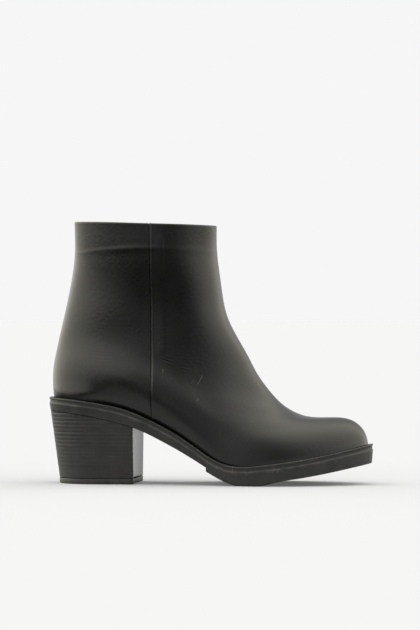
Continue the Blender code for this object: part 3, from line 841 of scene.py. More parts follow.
# A heel layer: the shares of its height that have a ring, the first and last of them in the groove,
# the groove's depth, between which heights the layers' edges grow uneven from a least share, and
# how much of that the smooth breast loses
LAYER_RINGS = (0.02, 0.13, 0.87, 0.98)
LAYER_GROOVE = 0.13
LAYER_UNEVEN = (18.0, 40.0)
LAYER_LEAST = 0.3
BREAST_SMOOTH = 0.8
BREAST_EDGE = (HEEL_BREAST_X - 1.0, HEEL_BREAST_X - 0.5)
BREAST_HALF = 24.0  # half width inside which the breast is hollow


def heel_rings(layer):
    """Rings of the heel's layers, cut off by the sole, and where the breast is.

    The outline runs straight from its top to its foot. Between grooves each layer stands out by its
    own small step, a sum of two sines of its number.
    """
    top, foot = heel_loop(0.0), heel_loop(1.0)
    top_z = sole_bottom(top[:, 0], False) - GAP
    foot_z = LIFT_THICK + GAP
    count = int(np.ceil((top_z.max() - foot_z) / layer))
    number = np.repeat(np.arange(count), len(LAYER_RINGS))
    part = np.tile(LAYER_RINGS, count)
    level = foot_z + (number + part) * layer
    proud = 0.04 * np.sin(number * 2.4 + 0.6) + 0.02 * np.sin(number * 5.1)
    between = (part > LAYER_RINGS[0]) & (part < LAYER_RINGS[-1])
    uneven = LAYER_LEAST + (1 - LAYER_LEAST) * ease(*LAYER_UNEVEN, level)
    relief = np.where(between, proud, -LAYER_GROOVE) * uneven
    z = np.minimum(level[:, None], top_z)
    drop = ((top_z - z) / (top_z - foot_z))[..., None]
    breast_x = top[:, 0] + BREAST_HOLLOW * (np.abs(top[:, 1]) < BREAST_HALF)
    breast = ease(*BREAST_EDGE, breast_x)
    relief = relief[:, None] * (1 - BREAST_SMOOTH * breast) * (level[:, None] < top_z)
    flat = top + (foot - top) * drop + (spread(top, 1.0) - top) * relief[..., None]
    rings = np.concatenate([flat, z[..., None]], axis=-1)[::-1]
    stack = np.concatenate([drawn_in(rings[0], [1, 0.5]), rings, drawn_in(rings[-1], [0.5, 1])])
    return stack, np.broadcast_to(breast[None, :], stack.shape[:2])


# Wall of the lift: out from the heel's foot, height
LIFT_SIDE = (
    (-0.35, 4.2),
    (-0.08, 4.1),
    (0.05, 3.8),
    (0.05, 2.0),
    (0.0, 0.8),
    (-0.12, 0.35),
    (-0.45, 0.08),
    (-1.0, 0.0),
)
LIFT_RUB = 0.3


def lift_rings():
    """Rings round the heel's lift: a flat top, a rounded wall and a flat tread."""
    foot = heel_loop(1.0)
    side = [np.column_stack([spread(foot, out), np.full(len(foot), z)]) for out, z in LIFT_SIDE]
    top, tread = drawn_in(side[0], [1, 0.5]), drawn_in(side[-1], [0.2, 0.5, 0.8, 1])
    return np.concatenate([top, side, tread])


# Edge of the insole: further in than its inset, height
INSOLE_SIDE = (
    (0.4, 0.0),
    (0.0, 0.4),
    (0.0, INSOLE_THICK - 0.7),
    (0.25, INSOLE_THICK - 0.2),
    (0.8, INSOLE_THICK),
)
INSOLE_CROWN = 0.5


def insole_rings():
    """Rings of the insole: flat below, a rounded edge, and a top that crowns by a quarter sine."""
    base = outline_loop(even_places(160))
    side = []
    for further, height in INSOLE_SIDE:
        loop = spread(base, -(INSOLE_INSET + further))
        side.append(np.column_stack([loop, sole_top(loop[:, 0]) + GAP + height]))
    shares = np.linspace(0, 1, 10)[1:]
    top = drawn_in(side[-1], shares)
    top[..., 2] += (INSOLE_CROWN * np.sin(shares * np.pi / 2))[:, None]
    return np.concatenate([drawn_in(side[0], [1, 0.5]), side, top])


# Zip


COIL_HALF = 1.6
COIL_HEIGHT = 0.62
TAPE_PLAY = 0.4  # from the tape's edge to the slot's
WEB_RIB = 0.05
WEB_PITCH = 0.8
COURSES_PER_LOOP = 5
BACK_EVERY = 4  # points of the front for each one of the tape's back


def tape_rings(pitch):
    """Rings across the zip's tape from foot to collar, and where the coil is.

    The web is a fine cosine. The coil is a half ellipse across with a parting, times a cosine
    along, half a pitch later ahead of the parting than behind it.
    """
    z = np.arange(ZIP_FOOT_Z + 0.2, SEAM_TOP_Z - 0.1, pitch / COURSES_PER_LOOP)
    half = ZIP_SLOT / 2 - TAPE_PLAY
    across = spaced((-half, -1.7, 7), (-1.55, 1.55, 19), (1.7, half, 7))
    points, normals = on_zip_side(*np.broadcast_arrays(across[None, :], z[:, None]))
    crown = np.sqrt(np.clip(1 - (across / COIL_HALF) ** 2, 0, 1))
    parting = 1 - 0.5 * bell(across, 0, 0.22)
    phase = 2 * np.pi * z[:, None] / pitch + np.pi * (across > 0)
    coil = COIL_HEIGHT * crown * parting * (0.66 + 0.34 * np.cos(phase))
    web = WEB_RIB * np.cos(2 * np.pi * across / WEB_PITCH) * (np.abs(across) > COIL_HALF)
    front = points + normals * (coil + web - TAPE_SINK)[..., None]
    back = (points - normals * (TAPE_SINK + TAPE_THICK))[:, ::-BACK_EVERY]
    rings = np.concatenate([front, back], axis=1)
    ends = np.broadcast_to(rings.mean(axis=1, keepdims=True), rings.shape)
    stack = np.concatenate([ends[:1], rings, ends[-1:]])
    on_coil = np.concatenate([np.abs(across) < COIL_HALF, np.zeros(back.shape[1])])
    return stack, np.broadcast_to(on_coil[None, :], stack.shape[:2])


STITCH_TOP = 3.5  # from the collar down to the first and last stitch
STITCH_BEND = 2.0
STITCH_NUDGE = 0.4
STITCH_SHARE = 0.8  # of the distance from stitch to stitch
STITCH_THICK = 0.55


def stitch_path():
    """Stitch line down behind the zip's slot, round its foot and up ahead, and its lengths."""
    inset = STITCH_LINE[0]
    side, foot, top = ZIP_SLOT / 2 + inset, ZIP_FOOT_Z - inset, SEAM_TOP_Z - STITCH_TOP
    bend = np.linspace(0, np.pi / 2, 8)
    left_x = -side + STITCH_BEND * (1 - np.cos(bend))
    left = np.stack([left_x, foot + STITCH_BEND * (1 - np.sin(bend))], axis=-1)
    path = np.vstack([[(-side, top)], left, left[::-1] * (-1, 1), [(side, top)]])
    length = np.concatenate([[0], np.cumsum(np.hypot(*np.diff(path, axis=0).T))])
    return path, length


def stitch_points(pitch):
    """Stitches round the zip: round bars that taper and dip at both ends by fourth powers.

    Each lies along the path, square to the leather.
    """
    path, length = stitch_path()
    at = np.arange(pitch / 2, length[-1], pitch)

    def on_path(distance):
        return on_zip_side(*(np.interp(distance, length, path[:, i]) for i in (0, 1)))

    centre, out = on_path(at)
    ahead, _ = on_path(np.minimum(at + STITCH_NUDGE, length[-1]))
    behind, _ = on_path(np.maximum(at - STITCH_NUDGE, 0))
    run = unit(ahead - behind)
    across = np.cross(out, run)
    s = np.linspace(-1, 1, 7)[:, None]
    turn = np.linspace(0, 2 * np.pi, 9)[None, :-1]
    radius = STITCH_THICK / 2 * np.sqrt(np.maximum(1 - np.abs(s) ** 4, 0))
    lift = 0.22 - 0.34 * s**4
    along = s * pitch * STITCH_SHARE / 2 + 0 * turn
    parts = [along, radius * np.cos(turn), lift + radius * np.sin(turn)]
    ways = (run, across, out)
    bars = sum(part[None, ..., None] * way[:, None, None, :] for part, way in zip(parts, ways))
    return centre[:, None, None, :] + bars


# Node helpers


def fill(tree, node, inputs):
    """Sets a node's sockets. A value that is a socket itself is linked."""
    for name, value in inputs.items():
        if isinstance(value, bpy.types.NodeSocket):
            tree.links.new(value, node.inputs[name])
        else:
            node.inputs[name].default_value = value


def add_node(tree, kind, inputs=None, **settings):
    """A shader node with its settings and socket values."""
    made = tree.nodes.new("ShaderNode" + kind)
    for name, value in settings.items():
        setattr(made, name, value)
    fill(tree, made, inputs or {})
    return made


def use_group(tree, group, inputs):
    return add_node(tree, "Group", inputs, node_tree=group).outputs


def maths(tree, operation, *values, **settings):
    inputs = dict(enumerate(values))
    return add_node(tree, "Math", inputs, operation=operation, **settings).outputs[0]


def vectors(tree, operation, *values):
    """Outputs of a Vector Math node, whose result is a vector or a value."""
    return add_node(tree, "VectorMath", dict(enumerate(values)), operation=operation).outputs


def noise(tree, at, scale, detail, roughness=0.5):
    inputs = {"Vector": at, "Scale": scale, "Detail": detail, "Roughness": roughness}
    return add_node(tree, "TexNoise", inputs).outputs["Fac"]


def ramp(tree, value, low, high, start=0.0, end=1.0, **settings):
    """A value's way from low to high as one from start to end, level beyond both."""
    inputs = {"Value": value, "From Min": low, "From Max": high, "To Min": start, "To Max": end}
    return add_node(tree, "MapRange", inputs, **settings).outputs[0]


def spread_value(tree, value, low, high):
    """A 0 to 1 value spread between low and high."""
    return ramp(tree, value, 0.0, 1.0, low, high)


def attribute(tree, name):
    """A piece's own mark, as a value."""
    return add_node(tree, "Attribute", attribute_name=name).outputs["Fac"]


def strands(tree, at, scale, distortion, detail):
    """Fine lines at a slant, as in thread and twill."""
    inputs = {"Vector": at, "Scale": scale, "Distortion": distortion, "Detail": detail}
    return add_node(tree, "TexWave", inputs, bands_direction="DIAGONAL").outputs["Fac"]


def bumped(tree, height, distance, strength):
    """Normal of a surface with fine relief."""
    inputs = {"Height": height, "Distance": distance, "Strength": strength}
    return add_node(tree, "Bump", inputs).outputs[0]


# Colour sockets of a Mix node
MIX_LOW, MIX_HIGH, MIX_RESULT = 6, 7, 2


def mix_colour(tree, share, low, high):
    """Colour between two, by a share that changes over the surface."""
    ends = [c if isinstance(c, bpy.types.NodeSocket) else (*c, 1) for c in (low, high)]
    inputs = {"Factor": share, MIX_LOW: ends[0], MIX_HIGH: ends[1]}
    return add_node(tree, "Mix", inputs, data_type="RGBA").outputs[MIX_RESULT]


def varied(tree, share, tone, low, high):
    """A colour from low to high times itself, by a share that changes over the surface."""
    return mix_colour(tree, share, [c * low for c in tone], [min(1, c * high) for c in tone])


def new_group(name, inputs, outputs):
    """Shader node group with named sockets: vectors in, values with a default in, values out."""
    group = bpy.data.node_groups.new(name, "ShaderNodeTree")
    for label, default in inputs.items():
        kind = "NodeSocketVector" if default is None else "NodeSocketFloat"
        socket = group.interface.new_socket(label, in_out="INPUT", socket_type=kind)
        if default is not None:
            socket.default_value = default
    for label in outputs:
        group.interface.new_socket(label, in_out="OUTPUT", socket_type="NodeSocketFloat")
    return group, group.nodes.new("NodeGroupInput").outputs, group.nodes.new("NodeGroupOutput")


PEBBLE_SCALE = 0.28  # the pebbles' share of the grain's scale
FINE_HEIGHT = 0.06  # height of cells and fine noise against the pebbles'


def grain_group():
    """Leather grain: pebbles with cells and fine noise on them, as a height, and slow clouds."""
    sockets = {"Vector": None, "Grain": 1700.0, "Clouds": 38.0}
    group, given, sink = new_group("Leather grain", sockets, ["Height", "Tone"])
    at, grain = given["Vector"], given["Grain"]
    cells = add_node(group, "TexVoronoi", {"Vector": at, "Scale": grain}, feature="SMOOTH_F1")
    both = maths(group, "ADD", cells.outputs["Distance"], noise(group, at, grain, 3.0, 0.6))
    pebbles = noise(group, at, maths(group, "MULTIPLY", grain, PEBBLE_SCALE), 2.0)
    height = maths(group, "MULTIPLY_ADD", both, FINE_HEIGHT, pebbles)
    fill(group, sink, {"Height": height, "Tone": noise(group, at, given["Clouds"], 4.0, 0.55)})
    return group


def rub_group():
    """Rubbed and dusty places: broken noise, thick where the mask is, with a few thin scratches.
    Where the sole's mask marks its lip's top edge and step, the pale is also a painted highlight.
    """
    sockets = {"Vector": None, "Mask": 0.0, "Amount": 0.5, "Scratches": 0.3}
    group, given, sink = new_group("Rub, dust and sheen", sockets, ["Rub"])
    at = given["Vector"]
    broken = ramp(group, noise(group, at, 90.0, 6.0, 0.7), 0.42, 0.72)
    stretch = {"Vector": at, "Rotation": (0.3, 0.5, 0.2), "Scale": (60, 900, 700)}
    lines = noise(group, add_node(group, "Mapping", stretch).outputs[0], 1.0, 2.0)
    thin = ramp(group, lines, 0.69, 0.76)
    edge = maths(group, "MULTIPLY", broken, given["Mask"])
    worn = maths(group, "MULTIPLY", edge, given["Amount"])
    marks = maths(group, "MULTIPLY", thin, given["Scratches"])
    fill(group, sink, {"Rub": maths(group, "ADD", worn, marks, use_clamp=True)})
    return group


SCRATCH_EDGE = (0.0001, 0.00035)  # distances from a scratch's line between which it fades


def scratch_group():
    """One straight scratch on the outer side, strong near a short line seen from the side.

    The nearest place on the line is the way along it, held within its half length.
    """
    sockets = {"Vector": None, "Middle": None, "Way": None, "Half": 0.002, "Strength": 0.5}
    group, given, sink = new_group("Scratch", sockets, ["Mark"])
    at, way, half = given["Vector"], given["Way"], given["Half"]
    apart = vectors(group, "SUBTRACT", at, given["Middle"])[0]
    seen = vectors(group, "MULTIPLY", apart, (1, 0, 1))[0]
    run = vectors(group, "DOT_PRODUCT", seen, way)["Value"]
    limits = {"Value": run, "Min": maths(group, "MULTIPLY", half, -1.0), "Max": half}
    held = add_node(group, "Clamp", limits).outputs[0]
    foot = add_node(group, "VectorMath", {0: way, "Scale": held}, operation="SCALE").outputs[0]
    off = vectors(group, "DISTANCE", seen, foot)["Value"]
    mark = ramp(group, off, *SCRATCH_EDGE, given["Strength"], 0.0)
    depth = add_node(group, "SeparateXYZ", {0: at}).outputs["Y"]
    outer = maths(group, "LESS_THAN", depth, 0.0)
    fill(group, sink, {"Mark": maths(group, "MULTIPLY", mark, outer)})
    return group


def start_finish(name, roughness, metallic=0.0):
    """Material with its shader, and the object's own coordinates to draw patterns on."""
    finish = bpy.data.materials.new(name)
    finish.use_nodes = True
    tree = finish.node_tree
    shader = tree.nodes["Principled BSDF"]
    fill(tree, shader, {"Roughness": roughness, "Metallic": metallic})
    at = add_node(tree, "TexCoord").outputs["Object"]
    return finish, tree, shader, at


def scratched(tree, scratch, at, tone, table, pale):
    """A tone with each scratch of a table drawn over it."""
    for x, z, half, lean, strength in table:
        line = {
            "Vector": at,
            "Middle": to_metres((x, 0, z)),
            "Way": Vector((lean, 0, 1)).normalized(),
            "Half": half * MM,
            "Strength": strength,
        }
        tone = mix_colour(tree, use_group(tree, scratch, line)["Mark"], tone, pale)
    return tone


def leather_finish(colours, grain, scratch):
    """Smooth black leather: satin, with fine grain, slow changes of gloss and a few scratches."""
    finish, tree, shader, at = start_finish("black_leather", 0.38)
    skin = use_group(tree, grain, {"Vector": at, "Grain": 1500.0, "Clouds": 42.0})
    tone = varied(tree, skin["Tone"], colours.leather, 0.8, 1.25)
    fill(tree, shader, {
        "Base Color": scratched(tree, scratch, at, tone, LEATHER_SCRATCHES, colours.dust),
        "Roughness": spread_value(tree, skin["Tone"], 0.22, 0.34),
        "Normal": bumped(tree, skin["Height"], 0.0002, 0.36),
    })
    return finish


def lining_finish(colours, grain):
    """Dull lining leather with a soft nap."""
    finish, tree, shader, at = start_finish("lining_leather", 0.75)
    skin = use_group(tree, grain, {"Vector": at, "Grain": 2600.0, "Clouds": 60.0})
    fill(tree, shader, {
        "Base Color": varied(tree, skin["Tone"], colours.lining, 0.7, 1.35),
        "Roughness": spread_value(tree, skin["Tone"], 0.68, 0.86),
        "Normal": bumped(tree, skin["Height"], 0.0003, 0.5),
    })
    return finish


def rubber_finish(colours, rub_and_sheen, scratch):
    """Dull moulded rubber, dusty and rubbed pale along its edges, with a painted highlight along
    the lip's top edge and its step, and a few scratches.
    """
    finish, tree, shader, at = start_finish("black_rubber", 0.6)
    # The rub mark makes the rubber paler: dust and wear, and a painted highlight along the lip's
    # top edge and its step.
    wear = {"Vector": at, "Mask": attribute(tree, "rub_and_sheen"), "Amount": 0.5, "Scratches": 0.3}
    cloud = noise(tree, at, 120.0, 5.0)
    tone = varied(tree, cloud, colours.rubber, 0.75, 1.3)
    dusty = mix_colour(tree, use_group(tree, rub_and_sheen, wear)["Rub"], tone, colours.dust)
    fill(tree, shader, {
        "Base Color": scratched(tree, scratch, at, dusty, SOLE_SCRATCHES, colours.dust),
        "Roughness": spread_value(tree, cloud, 0.4, 0.6),
        "Normal": bumped(tree, noise(tree, at, 1400.0, 3.0), 0.00012, 0.35),
    })
    return finish


def heel_finish(colours, rub_and_sheen):
    """Stacked heel: black edges with fine level streaks and worn marks, smoother on the breast."""
    finish, tree, shader, at = start_finish("stacked_heel", 0.5)
    level = add_node(tree, "Mapping", {"Vector": at, "Scale": (45, 45, 1500)}).outputs[0]
    streaks = noise(tree, level, 1.0, 5.0, 0.65)
    wear = {"Vector": at, "Mask": 0.25, "Amount": 0.3, "Scratches": 0.15}
    tone = varied(tree, streaks, colours.heel, 0.85, 1.15)
    breast = attribute(tree, "breast")
    gloss = spread_value(tree, streaks, 0.46, 0.6)
    height = maths(tree, "MULTIPLY", streaks, spread_value(tree, breast, 1.0, 0.2))
    fill(tree, shader, {
        "Base Color": mix_colour(tree, use_group(tree, rub_and_sheen, wear)["Rub"], tone, colours.dust),
        "Roughness": maths(tree, "MULTIPLY", gloss, spread_value(tree, breast, 1.0, 0.45)),
        "Normal": bumped(tree, height, 0.00014, 0.3),
    })
    return finish


def tape_finish(colours):
    """Woven tape with a glossier coil: twill lines on the web, smooth where the coil mark is."""
    finish, tree, shader, at = start_finish("zip_tape", 0.7)
    coil = attribute(tree, "coil")
    twill = strands(tree, at, 900.0, 0.6, 1.0)
    web = varied(tree, twill, colours.tape, 0.6, 1.5)
    fill(tree, shader, {
        "Base Color": mix_colour(tree, coil, web, colours.coil),
        "Roughness": spread_value(tree, coil, 0.8, 0.3),
        "Normal": bumped(tree, twill, 0.00008, 0.5),
    })
    return finish


def thread_finish(colours):
    """Waxed thread: fine strands at a slant."""
    finish, tree, shader, at = start_finish("waxed_thread", 0.5)
    twist = strands(tree, at, 1500.0, 0.4, 2.0)
    fill(tree, shader, {
        "Base Color": varied(tree, twist, colours.thread, 0.6, 1.5),
        "Normal": bumped(tree, twist, 0.00006, 0.6),
    })
    return finish


def metal_finish(colours, rub_and_sheen):
    """Dark polished zip metal with soft smears and thin scratches."""
    finish, tree, shader, at = start_finish("zip_metal", 0.3, 1.0)
    wear = {"Vector": at, "Mask": 0.3, "Amount": 0.5, "Scratches": 0.5}
    fill(tree, shader, {
        "Base Color": varied(tree, use_group(tree, rub_and_sheen, wear)["Rub"], colours.metal, 0.8, 1.5),
        "Roughness": spread_value(tree, noise(tree, at, 240.0, 4.0), 0.2, 0.42),
    })
    return finish


# Floor: distances from the boot's middle between which its reflections dim, and places across,
# from behind the boot forwards, between which that sets in. The dimming is painted shade on the
# floor's colour, seen only in reflections.
FLOOR_FAR = (0.08, 0.5)
FLOOR_AHEAD = (0.25, 0.05)


def floor_finish(studio):
    """Pale paper floor: dull, a little lit to the eye, and with painted shade far ahead, seen only
    in reflections.
    """
    finish, tree, shader, at = start_finish("pale_floor", 0.9)
    seen = add_node(tree, "LightPath").outputs["Is Camera Ray"]
    away = vectors(tree, "LENGTH", at)["Value"]
    far = ramp(tree, away, *FLOOR_FAR, interpolation_type="SMOOTHSTEP")
    across = add_node(tree, "SeparateXYZ", {0: at}).outputs["Y"]
    # Painted shade: the floor's colour in reflections is darker far from the boot and ahead of it.
    dim = maths(tree, "MULTIPLY", far, ramp(tree, across, *FLOOR_AHEAD))
    mirrored = varied(tree, dim, studio.floor, 1.0, studio.floor_mirrored)
    fill(tree, shader, {
        "Base Color": mix_colour(tree, seen, mirrored, studio.floor),
        "Specular IOR Level": 0.0,
        "Emission Color": (1, 1, 1, 1),
        "Emission Strength": spread_value(tree, seen, 0.0, studio.floor_glow),
    })
    return finish


# Settings


def length_prop(name, description, default, low, high):
    return FloatProperty(
        name=name, description=description, default=default, min=low, max=high, unit="LENGTH"
    )


def amount_prop(name, description, default, high):
    return FloatProperty(name=name, description=description, default=default, min=0, max=high)


def colour_prop(name, description, default):
    return FloatVectorProperty(
        name=name, description=description, default=default, size=3, min=0, max=1, subtype="COLOR"
    )


class BootShape(PropertyGroup):
    wall: length_prop("Wall", "Leather and lining together", 0.002, 0.001, 0.004)
    seam: length_prop("Seam", "Height of the raised outer seam", 0.00052, 0, 0.002)
    facing: length_prop("Facing", "Ridge on the collar facing's lower edge", 0.0003, 0, 0.002)
    wrinkle: length_prop("Wrinkle", "Depth of the ankle's fine wrinkles", 0.00025, 0, 0.001)
    layer: length_prop("Heel layer", "Thickness of one heel layer", 0.0029, 0.001, 0.01)
    coil: length_prop("Coil pitch", "From loop to loop of the zip's coil", 0.0013, 0.0005, 0.004)
    stitch: length_prop("Stitch", "From stitch to stitch round the zip", 0.003, 0.001, 0.01)


class BootFinish(PropertyGroup):
    leather: colour_prop("Leather", "Colour of the upper", (0.0025, 0.0025, 0.0025))
    lining: colour_prop("Lining", "Colour of the lining and insole", (0.03, 0.027, 0.024))
    rubber: colour_prop("Rubber", "Colour of sole and lift", (0.009, 0.009, 0.0093))
    heel: colour_prop("Heel", "Colour of the stacked heel", (0.01, 0.01, 0.01))
    dust: colour_prop("Dust", "Colour of rubbed edges and dust", (0.16, 0.15, 0.13))
    tape: colour_prop("Tape", "Colour of the zip's tape", (0.012, 0.012, 0.012))
    coil: colour_prop("Coil", "Colour of the zip's coil", (0.02, 0.02, 0.021))
    thread: colour_prop("Thread", "Colour of the stitches", (0.02, 0.02, 0.02))
    metal: colour_prop("Metal", "Colour of slider and pull tab", (0.42, 0.41, 0.4))


class BootStudio(PropertyGroup):
    azimuth: FloatProperty(
        name="Azimuth",
        description="Camera's turn towards the toe",
        default=math.radians(6.8),
        subtype="ANGLE",
    )
    distance: length_prop("Distance", "Camera to boot", 2.4, 0.3, 10)
    height: length_prop("Height", "Camera above the floor", 0.1285, 0.01, 3)
    aside: length_prop("Aside", "Aim's distance ahead of the boot's middle", -0.0002, -1, 1)
    span: length_prop("Span", "Height of the picture at the boot", 0.481, 0.1, 2)
    backdrop: amount_prop("Backdrop", "Brightness of the backdrop to the eye", 0.9216, 2)
    overhead: amount_prop("Overhead", "Brightness of the soft light above", 0.25, 10)
    left: amount_prop("Left", "Brightness of the soft light on the heel's side", 2.4, 10)
    right: amount_prop("Right", "Brightness of the soft light on the toe's side", 1.88, 10)
    fill: amount_prop("Fill", "Brightness from everywhere else", 0.11, 10)
    back_dim: amount_prop("Back dimming", "Share of light taken away behind the boot", 0.72, 1)
    floor: colour_prop("Floor", "Colour of the paper floor", (0.444, 0.449, 0.497))
    floor_mirrored: amount_prop("Floor mirrored", "Share of its colour in far reflections", 0.06, 1)
    floor_glow: amount_prop("Floor glow", "Light through the floor to the eye", 0.1, 2)


# Operators


class BOOT_OT_finishes(Operator):
    """Make the boot's leather, rubber, heel, zip and thread finishes"""

    bl_idname = "boot.finishes"
    bl_label = "Finishes"

    def execute(self, context):
        colours = context.scene.boot_finish
        grain, rub_and_sheen, scratch = grain_group(), rub_group(), scratch_group()
        FINISHES["leather"] = leather_finish(colours, grain, scratch)
        FINISHES["lining"] = lining_finish(colours, grain)
        FINISHES["rubber"] = rubber_finish(colours, rub_and_sheen, scratch)
        FINISHES["heel"] = heel_finish(colours, rub_and_sheen)
        FINISHES["tape"] = tape_finish(colours)
        FINISHES["thread"] = thread_finish(colours)
        FINISHES["metal"] = metal_finish(colours, rub_and_sheen)
        return {"FINISHED"}


class BOOT_OT_upper(Operator):
    """Make the upper: its leather face, rolled collar and lining as one closed wall"""

    bl_idname = "boot.upper"
    bl_label = "Upper"

    def execute(self, context):
        rings, leather_rows = upper_rings(context.scene.boot_shape)
        rows, count = rings.shape[:2]
        add_piece(
            "upper_wall",
            rings,
            ["leather", "lining"],
            nodes=["upper"],
            quads=grid_quads(rows, count, wrap_rows=True),
            finish_of=np.repeat(np.arange(rows) > leather_rows + 1, count),
            sharp=60,
        )
        return {"FINISHED"}


class BOOT_OT_sole(Operator):
    """Make the outsole with its lip, band, step and grooved tread, and the insole"""

    bl_idname = "boot.sole"
    bl_label = "Sole"

    def execute(self, context):
        # The sole's rub mark holds dust and wear, and a painted highlight along its lip's top edge
        # and its step.
        rings, rub_and_sheen = sole_rings()
        add_piece(
            "outsole_unit",
            rings,
            ["rubber"],
            nodes=["outsole"],
            marks={"rub_and_sheen": rub_and_sheen},
            sharp=50,
        )
        add_piece("insole_sock", insole_rings(), ["lining"], nodes=["insole"])
        return {"FINISHED"}


class BOOT_OT_heel(Operator):
    """Make the stacked heel and its lift"""

    bl_idname = "boot.heel"
    bl_label = "Heel"

    def execute(self, context):
        rings, breast = heel_rings(context.scene.boot_shape.layer / MM)
        add_piece(
            "heel_stack",
            rings,
            ["heel"],
            nodes=["heel_block"],
            marks={"breast": breast},
            sharp=35,
        )
        rings = lift_rings()
        add_piece(
            "heel_lift",
            rings,
            ["rubber"],
            nodes=["top_lift"],
            marks={"rub_and_sheen": np.full(rings.shape[:2], LIFT_RUB)},
            sharp=35,
        )
        return {"FINISHED"}


class BOOT_OT_zip(Operator):
    """Make the zip's tape and coil and the stitches round it, and finish its slider and pull tab"""

    bl_idname = "boot.zip"
    bl_label = "Zip"

    def execute(self, context):
        shape = context.scene.boot_shape
        rings, coil = tape_rings(shape.coil / MM)
        add_piece(
            "zip_chain",
            rings,
            ["tape"],
            nodes=["zip_tape"],
            marks={"coil": coil},
            sharp=60,
        )
        bars = stitch_points(shape.stitch / MM)
        each = grid_quads(*bars.shape[1:3])
        first = np.arange(len(bars))[:, None, None] * bars.shape[1] * bars.shape[2]
        add_piece("zip_stitches", bars, ["thread"], quads=(each + first).reshape(-1, 4))
        for name in ("zip_slider", "zip_pull_tab"):
            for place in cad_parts[name].material_slots:
                place.material = FINISHES["metal"]
        return {"FINISHED"}


# Soft lights: degrees round from the camera's side towards the toe, degrees up from the floor, and
# the cosines to the light's middle from which and up to which it grows
LEFT_LIGHT = (-125, 21, -0.9, 1.05)
RIGHT_LIGHT = (99, 21, 0.12, 1.1)
OVERHEAD_LIGHT = (0, 90, 0.45, 1.05)
BACK_SHADE = (180, 25, 0.56, 1.0)

# Light levels between which it turns from a neutral to a warm white
WARM_LEVELS = (0.9, 1.9)
NEUTRAL_WHITE = (1, 0.995, 1)
WARM_WHITE = (1, 0.985, 0.865)


def towards(azimuth, elevation):
    """Unit vector that way: azimuth from the camera's side towards the toe, elevation up."""
    azimuth, elevation = math.radians(azimuth), math.radians(elevation)
    return (
        math.sin(azimuth) * math.cos(elevation),
        -math.cos(azimuth) * math.cos(elevation),
        math.sin(elevation),
    )


def sky_nodes(world, studio):
    """Studio surroundings: wide soft lights left, right and above, dimmed behind, plain to the eye.

    Each light is an S-shaped ramp of the cosine between the ray and the light's middle.
    """
    world.use_nodes = True
    tree = world.node_tree
    tree.nodes.clear()
    way = add_node(tree, "TexCoord").outputs["Generated"]

    def light(place, start, end):
        azimuth, elevation, low, high = place
        near = vectors(tree, "DOT_PRODUCT", way, towards(azimuth, elevation))["Value"]
        return ramp(tree, near, low, high, start, end, interpolation_type="SMOOTHSTEP")

    left = light(LEFT_LIGHT, studio.fill, studio.fill + studio.left)
    right = light(RIGHT_LIGHT, 0.0, studio.right)
    above = light(OVERHEAD_LIGHT, 0.0, studio.overhead)
    behind = light(BACK_SHADE, 1.0, 1 - studio.back_dim)
    lights = maths(tree, "ADD", maths(tree, "ADD", left, right), above)
    level = maths(tree, "MULTIPLY", lights, behind)
    warm = mix_colour(tree, ramp(tree, level, *WARM_LEVELS), NEUTRAL_WHITE, WARM_WHITE)
    lit = add_node(tree, "Background", {"Color": warm, "Strength": level}).outputs[0]
    plain = {"Color": (1, 1, 1, 1), "Strength": studio.backdrop}
    plain = add_node(tree, "Background", plain).outputs[0]
    seen = add_node(tree, "LightPath").outputs["Is Camera Ray"]
    mix = add_node(tree, "MixShader", {0: seen, 1: lit, 2: plain}).outputs[0]
    add_node(tree, "OutputWorld", {0: mix})


FLOOR_REACH = 60.0
CAMERA_REACH = 300.0
SENSOR = 36.0


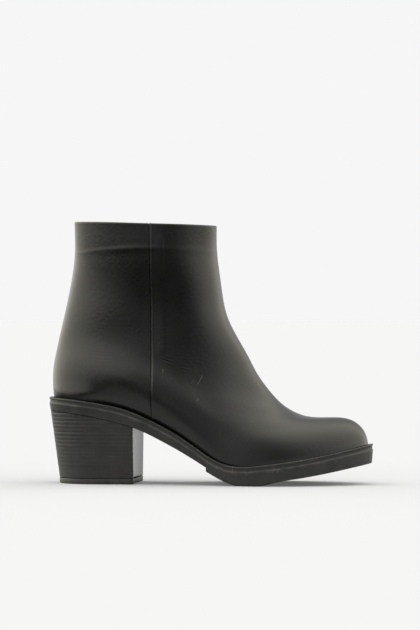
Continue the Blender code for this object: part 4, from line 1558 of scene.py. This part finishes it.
class BOOT_OT_stage(Operator):
    """Set up the pale floor, the soft light and the camera"""

    bl_idname = "boot.stage"
    bl_label = "Stage"

    def execute(self, context):
        scene, studio = context.scene, context.scene.boot_studio
        scene.view_settings.view_transform = "Standard"
        scene.view_settings.look = "None"
        corners = np.array([(-1, -1, 0), (1, -1, 0), (1, 1, 0), (-1, 1, 0)]) * FLOOR_REACH
        mesh = bpy.data.meshes.new("floor")
        mesh.from_pydata(corners.tolist(), [], [(0, 1, 2, 3)])
        mesh.materials.append(floor_finish(studio))
        floor = bpy.data.objects.new("floor", mesh)
        scene.collection.objects.link(floor)
        scene.world = bpy.data.worlds.new("studio")
        sky_nodes(scene.world, studio)
        lens = bpy.data.cameras.new("camera")
        lens.sensor_width = SENSOR
        lens.lens = SENSOR * studio.distance / studio.span
        lens.clip_end = CAMERA_REACH
        camera = bpy.data.objects.new("camera", lens)
        away = Vector((math.sin(studio.azimuth), -math.cos(studio.azimuth), 0))
        across = Vector((math.cos(studio.azimuth), math.sin(studio.azimuth), 0))
        up = Vector((0, 0, studio.height))
        camera.location = away * studio.distance + across * studio.aside + up
        camera.rotation_mode = "QUATERNION"
        camera.rotation_quaternion = (-away).to_track_quat("-Z", "Y")
        scene.collection.objects.link(camera)
        scene.camera = camera
        return {"FINISHED"}


class BOOT_PT_panel(Panel):
    """Boot's pieces and settings"""

    bl_idname = "BOOT_PT_panel"
    bl_label = "Heeled side-zip boot"
    bl_space_type = "VIEW_3D"
    bl_region_type = "UI"
    bl_category = "Boot"

    def draw(self, context):
        for step in STEPS:
            self.layout.operator(step.bl_idname)
        scene = context.scene
        for group in (scene.boot_shape, scene.boot_finish, scene.boot_studio):
            box = self.layout.box()
            for name in group.bl_rna.properties.keys():
                if name not in ("rna_type", "name"):
                    box.prop(group, name)


STEPS = (BOOT_OT_stage, BOOT_OT_finishes, BOOT_OT_upper, BOOT_OT_sole, BOOT_OT_heel, BOOT_OT_zip)
CLASSES = (BootShape, BootFinish, BootStudio, *STEPS, BOOT_PT_panel)


def register():
    for made in CLASSES:
        bpy.utils.register_class(made)
    bpy.types.Scene.boot_shape = PointerProperty(type=BootShape)
    bpy.types.Scene.boot_finish = PointerProperty(type=BootFinish)
    bpy.types.Scene.boot_studio = PointerProperty(type=BootStudio)


def unregister():
    del bpy.types.Scene.boot_studio, bpy.types.Scene.boot_finish, bpy.types.Scene.boot_shape
    for made in reversed(CLASSES):
        bpy.utils.unregister_class(made)


def main():
    register()
    bpy.ops.boot.stage()
    bpy.ops.boot.finishes()
    bpy.ops.boot.upper()
    bpy.ops.boot.sole()
    bpy.ops.boot.heel()
    bpy.ops.boot.zip()


if __name__ == "__main__":
    main()
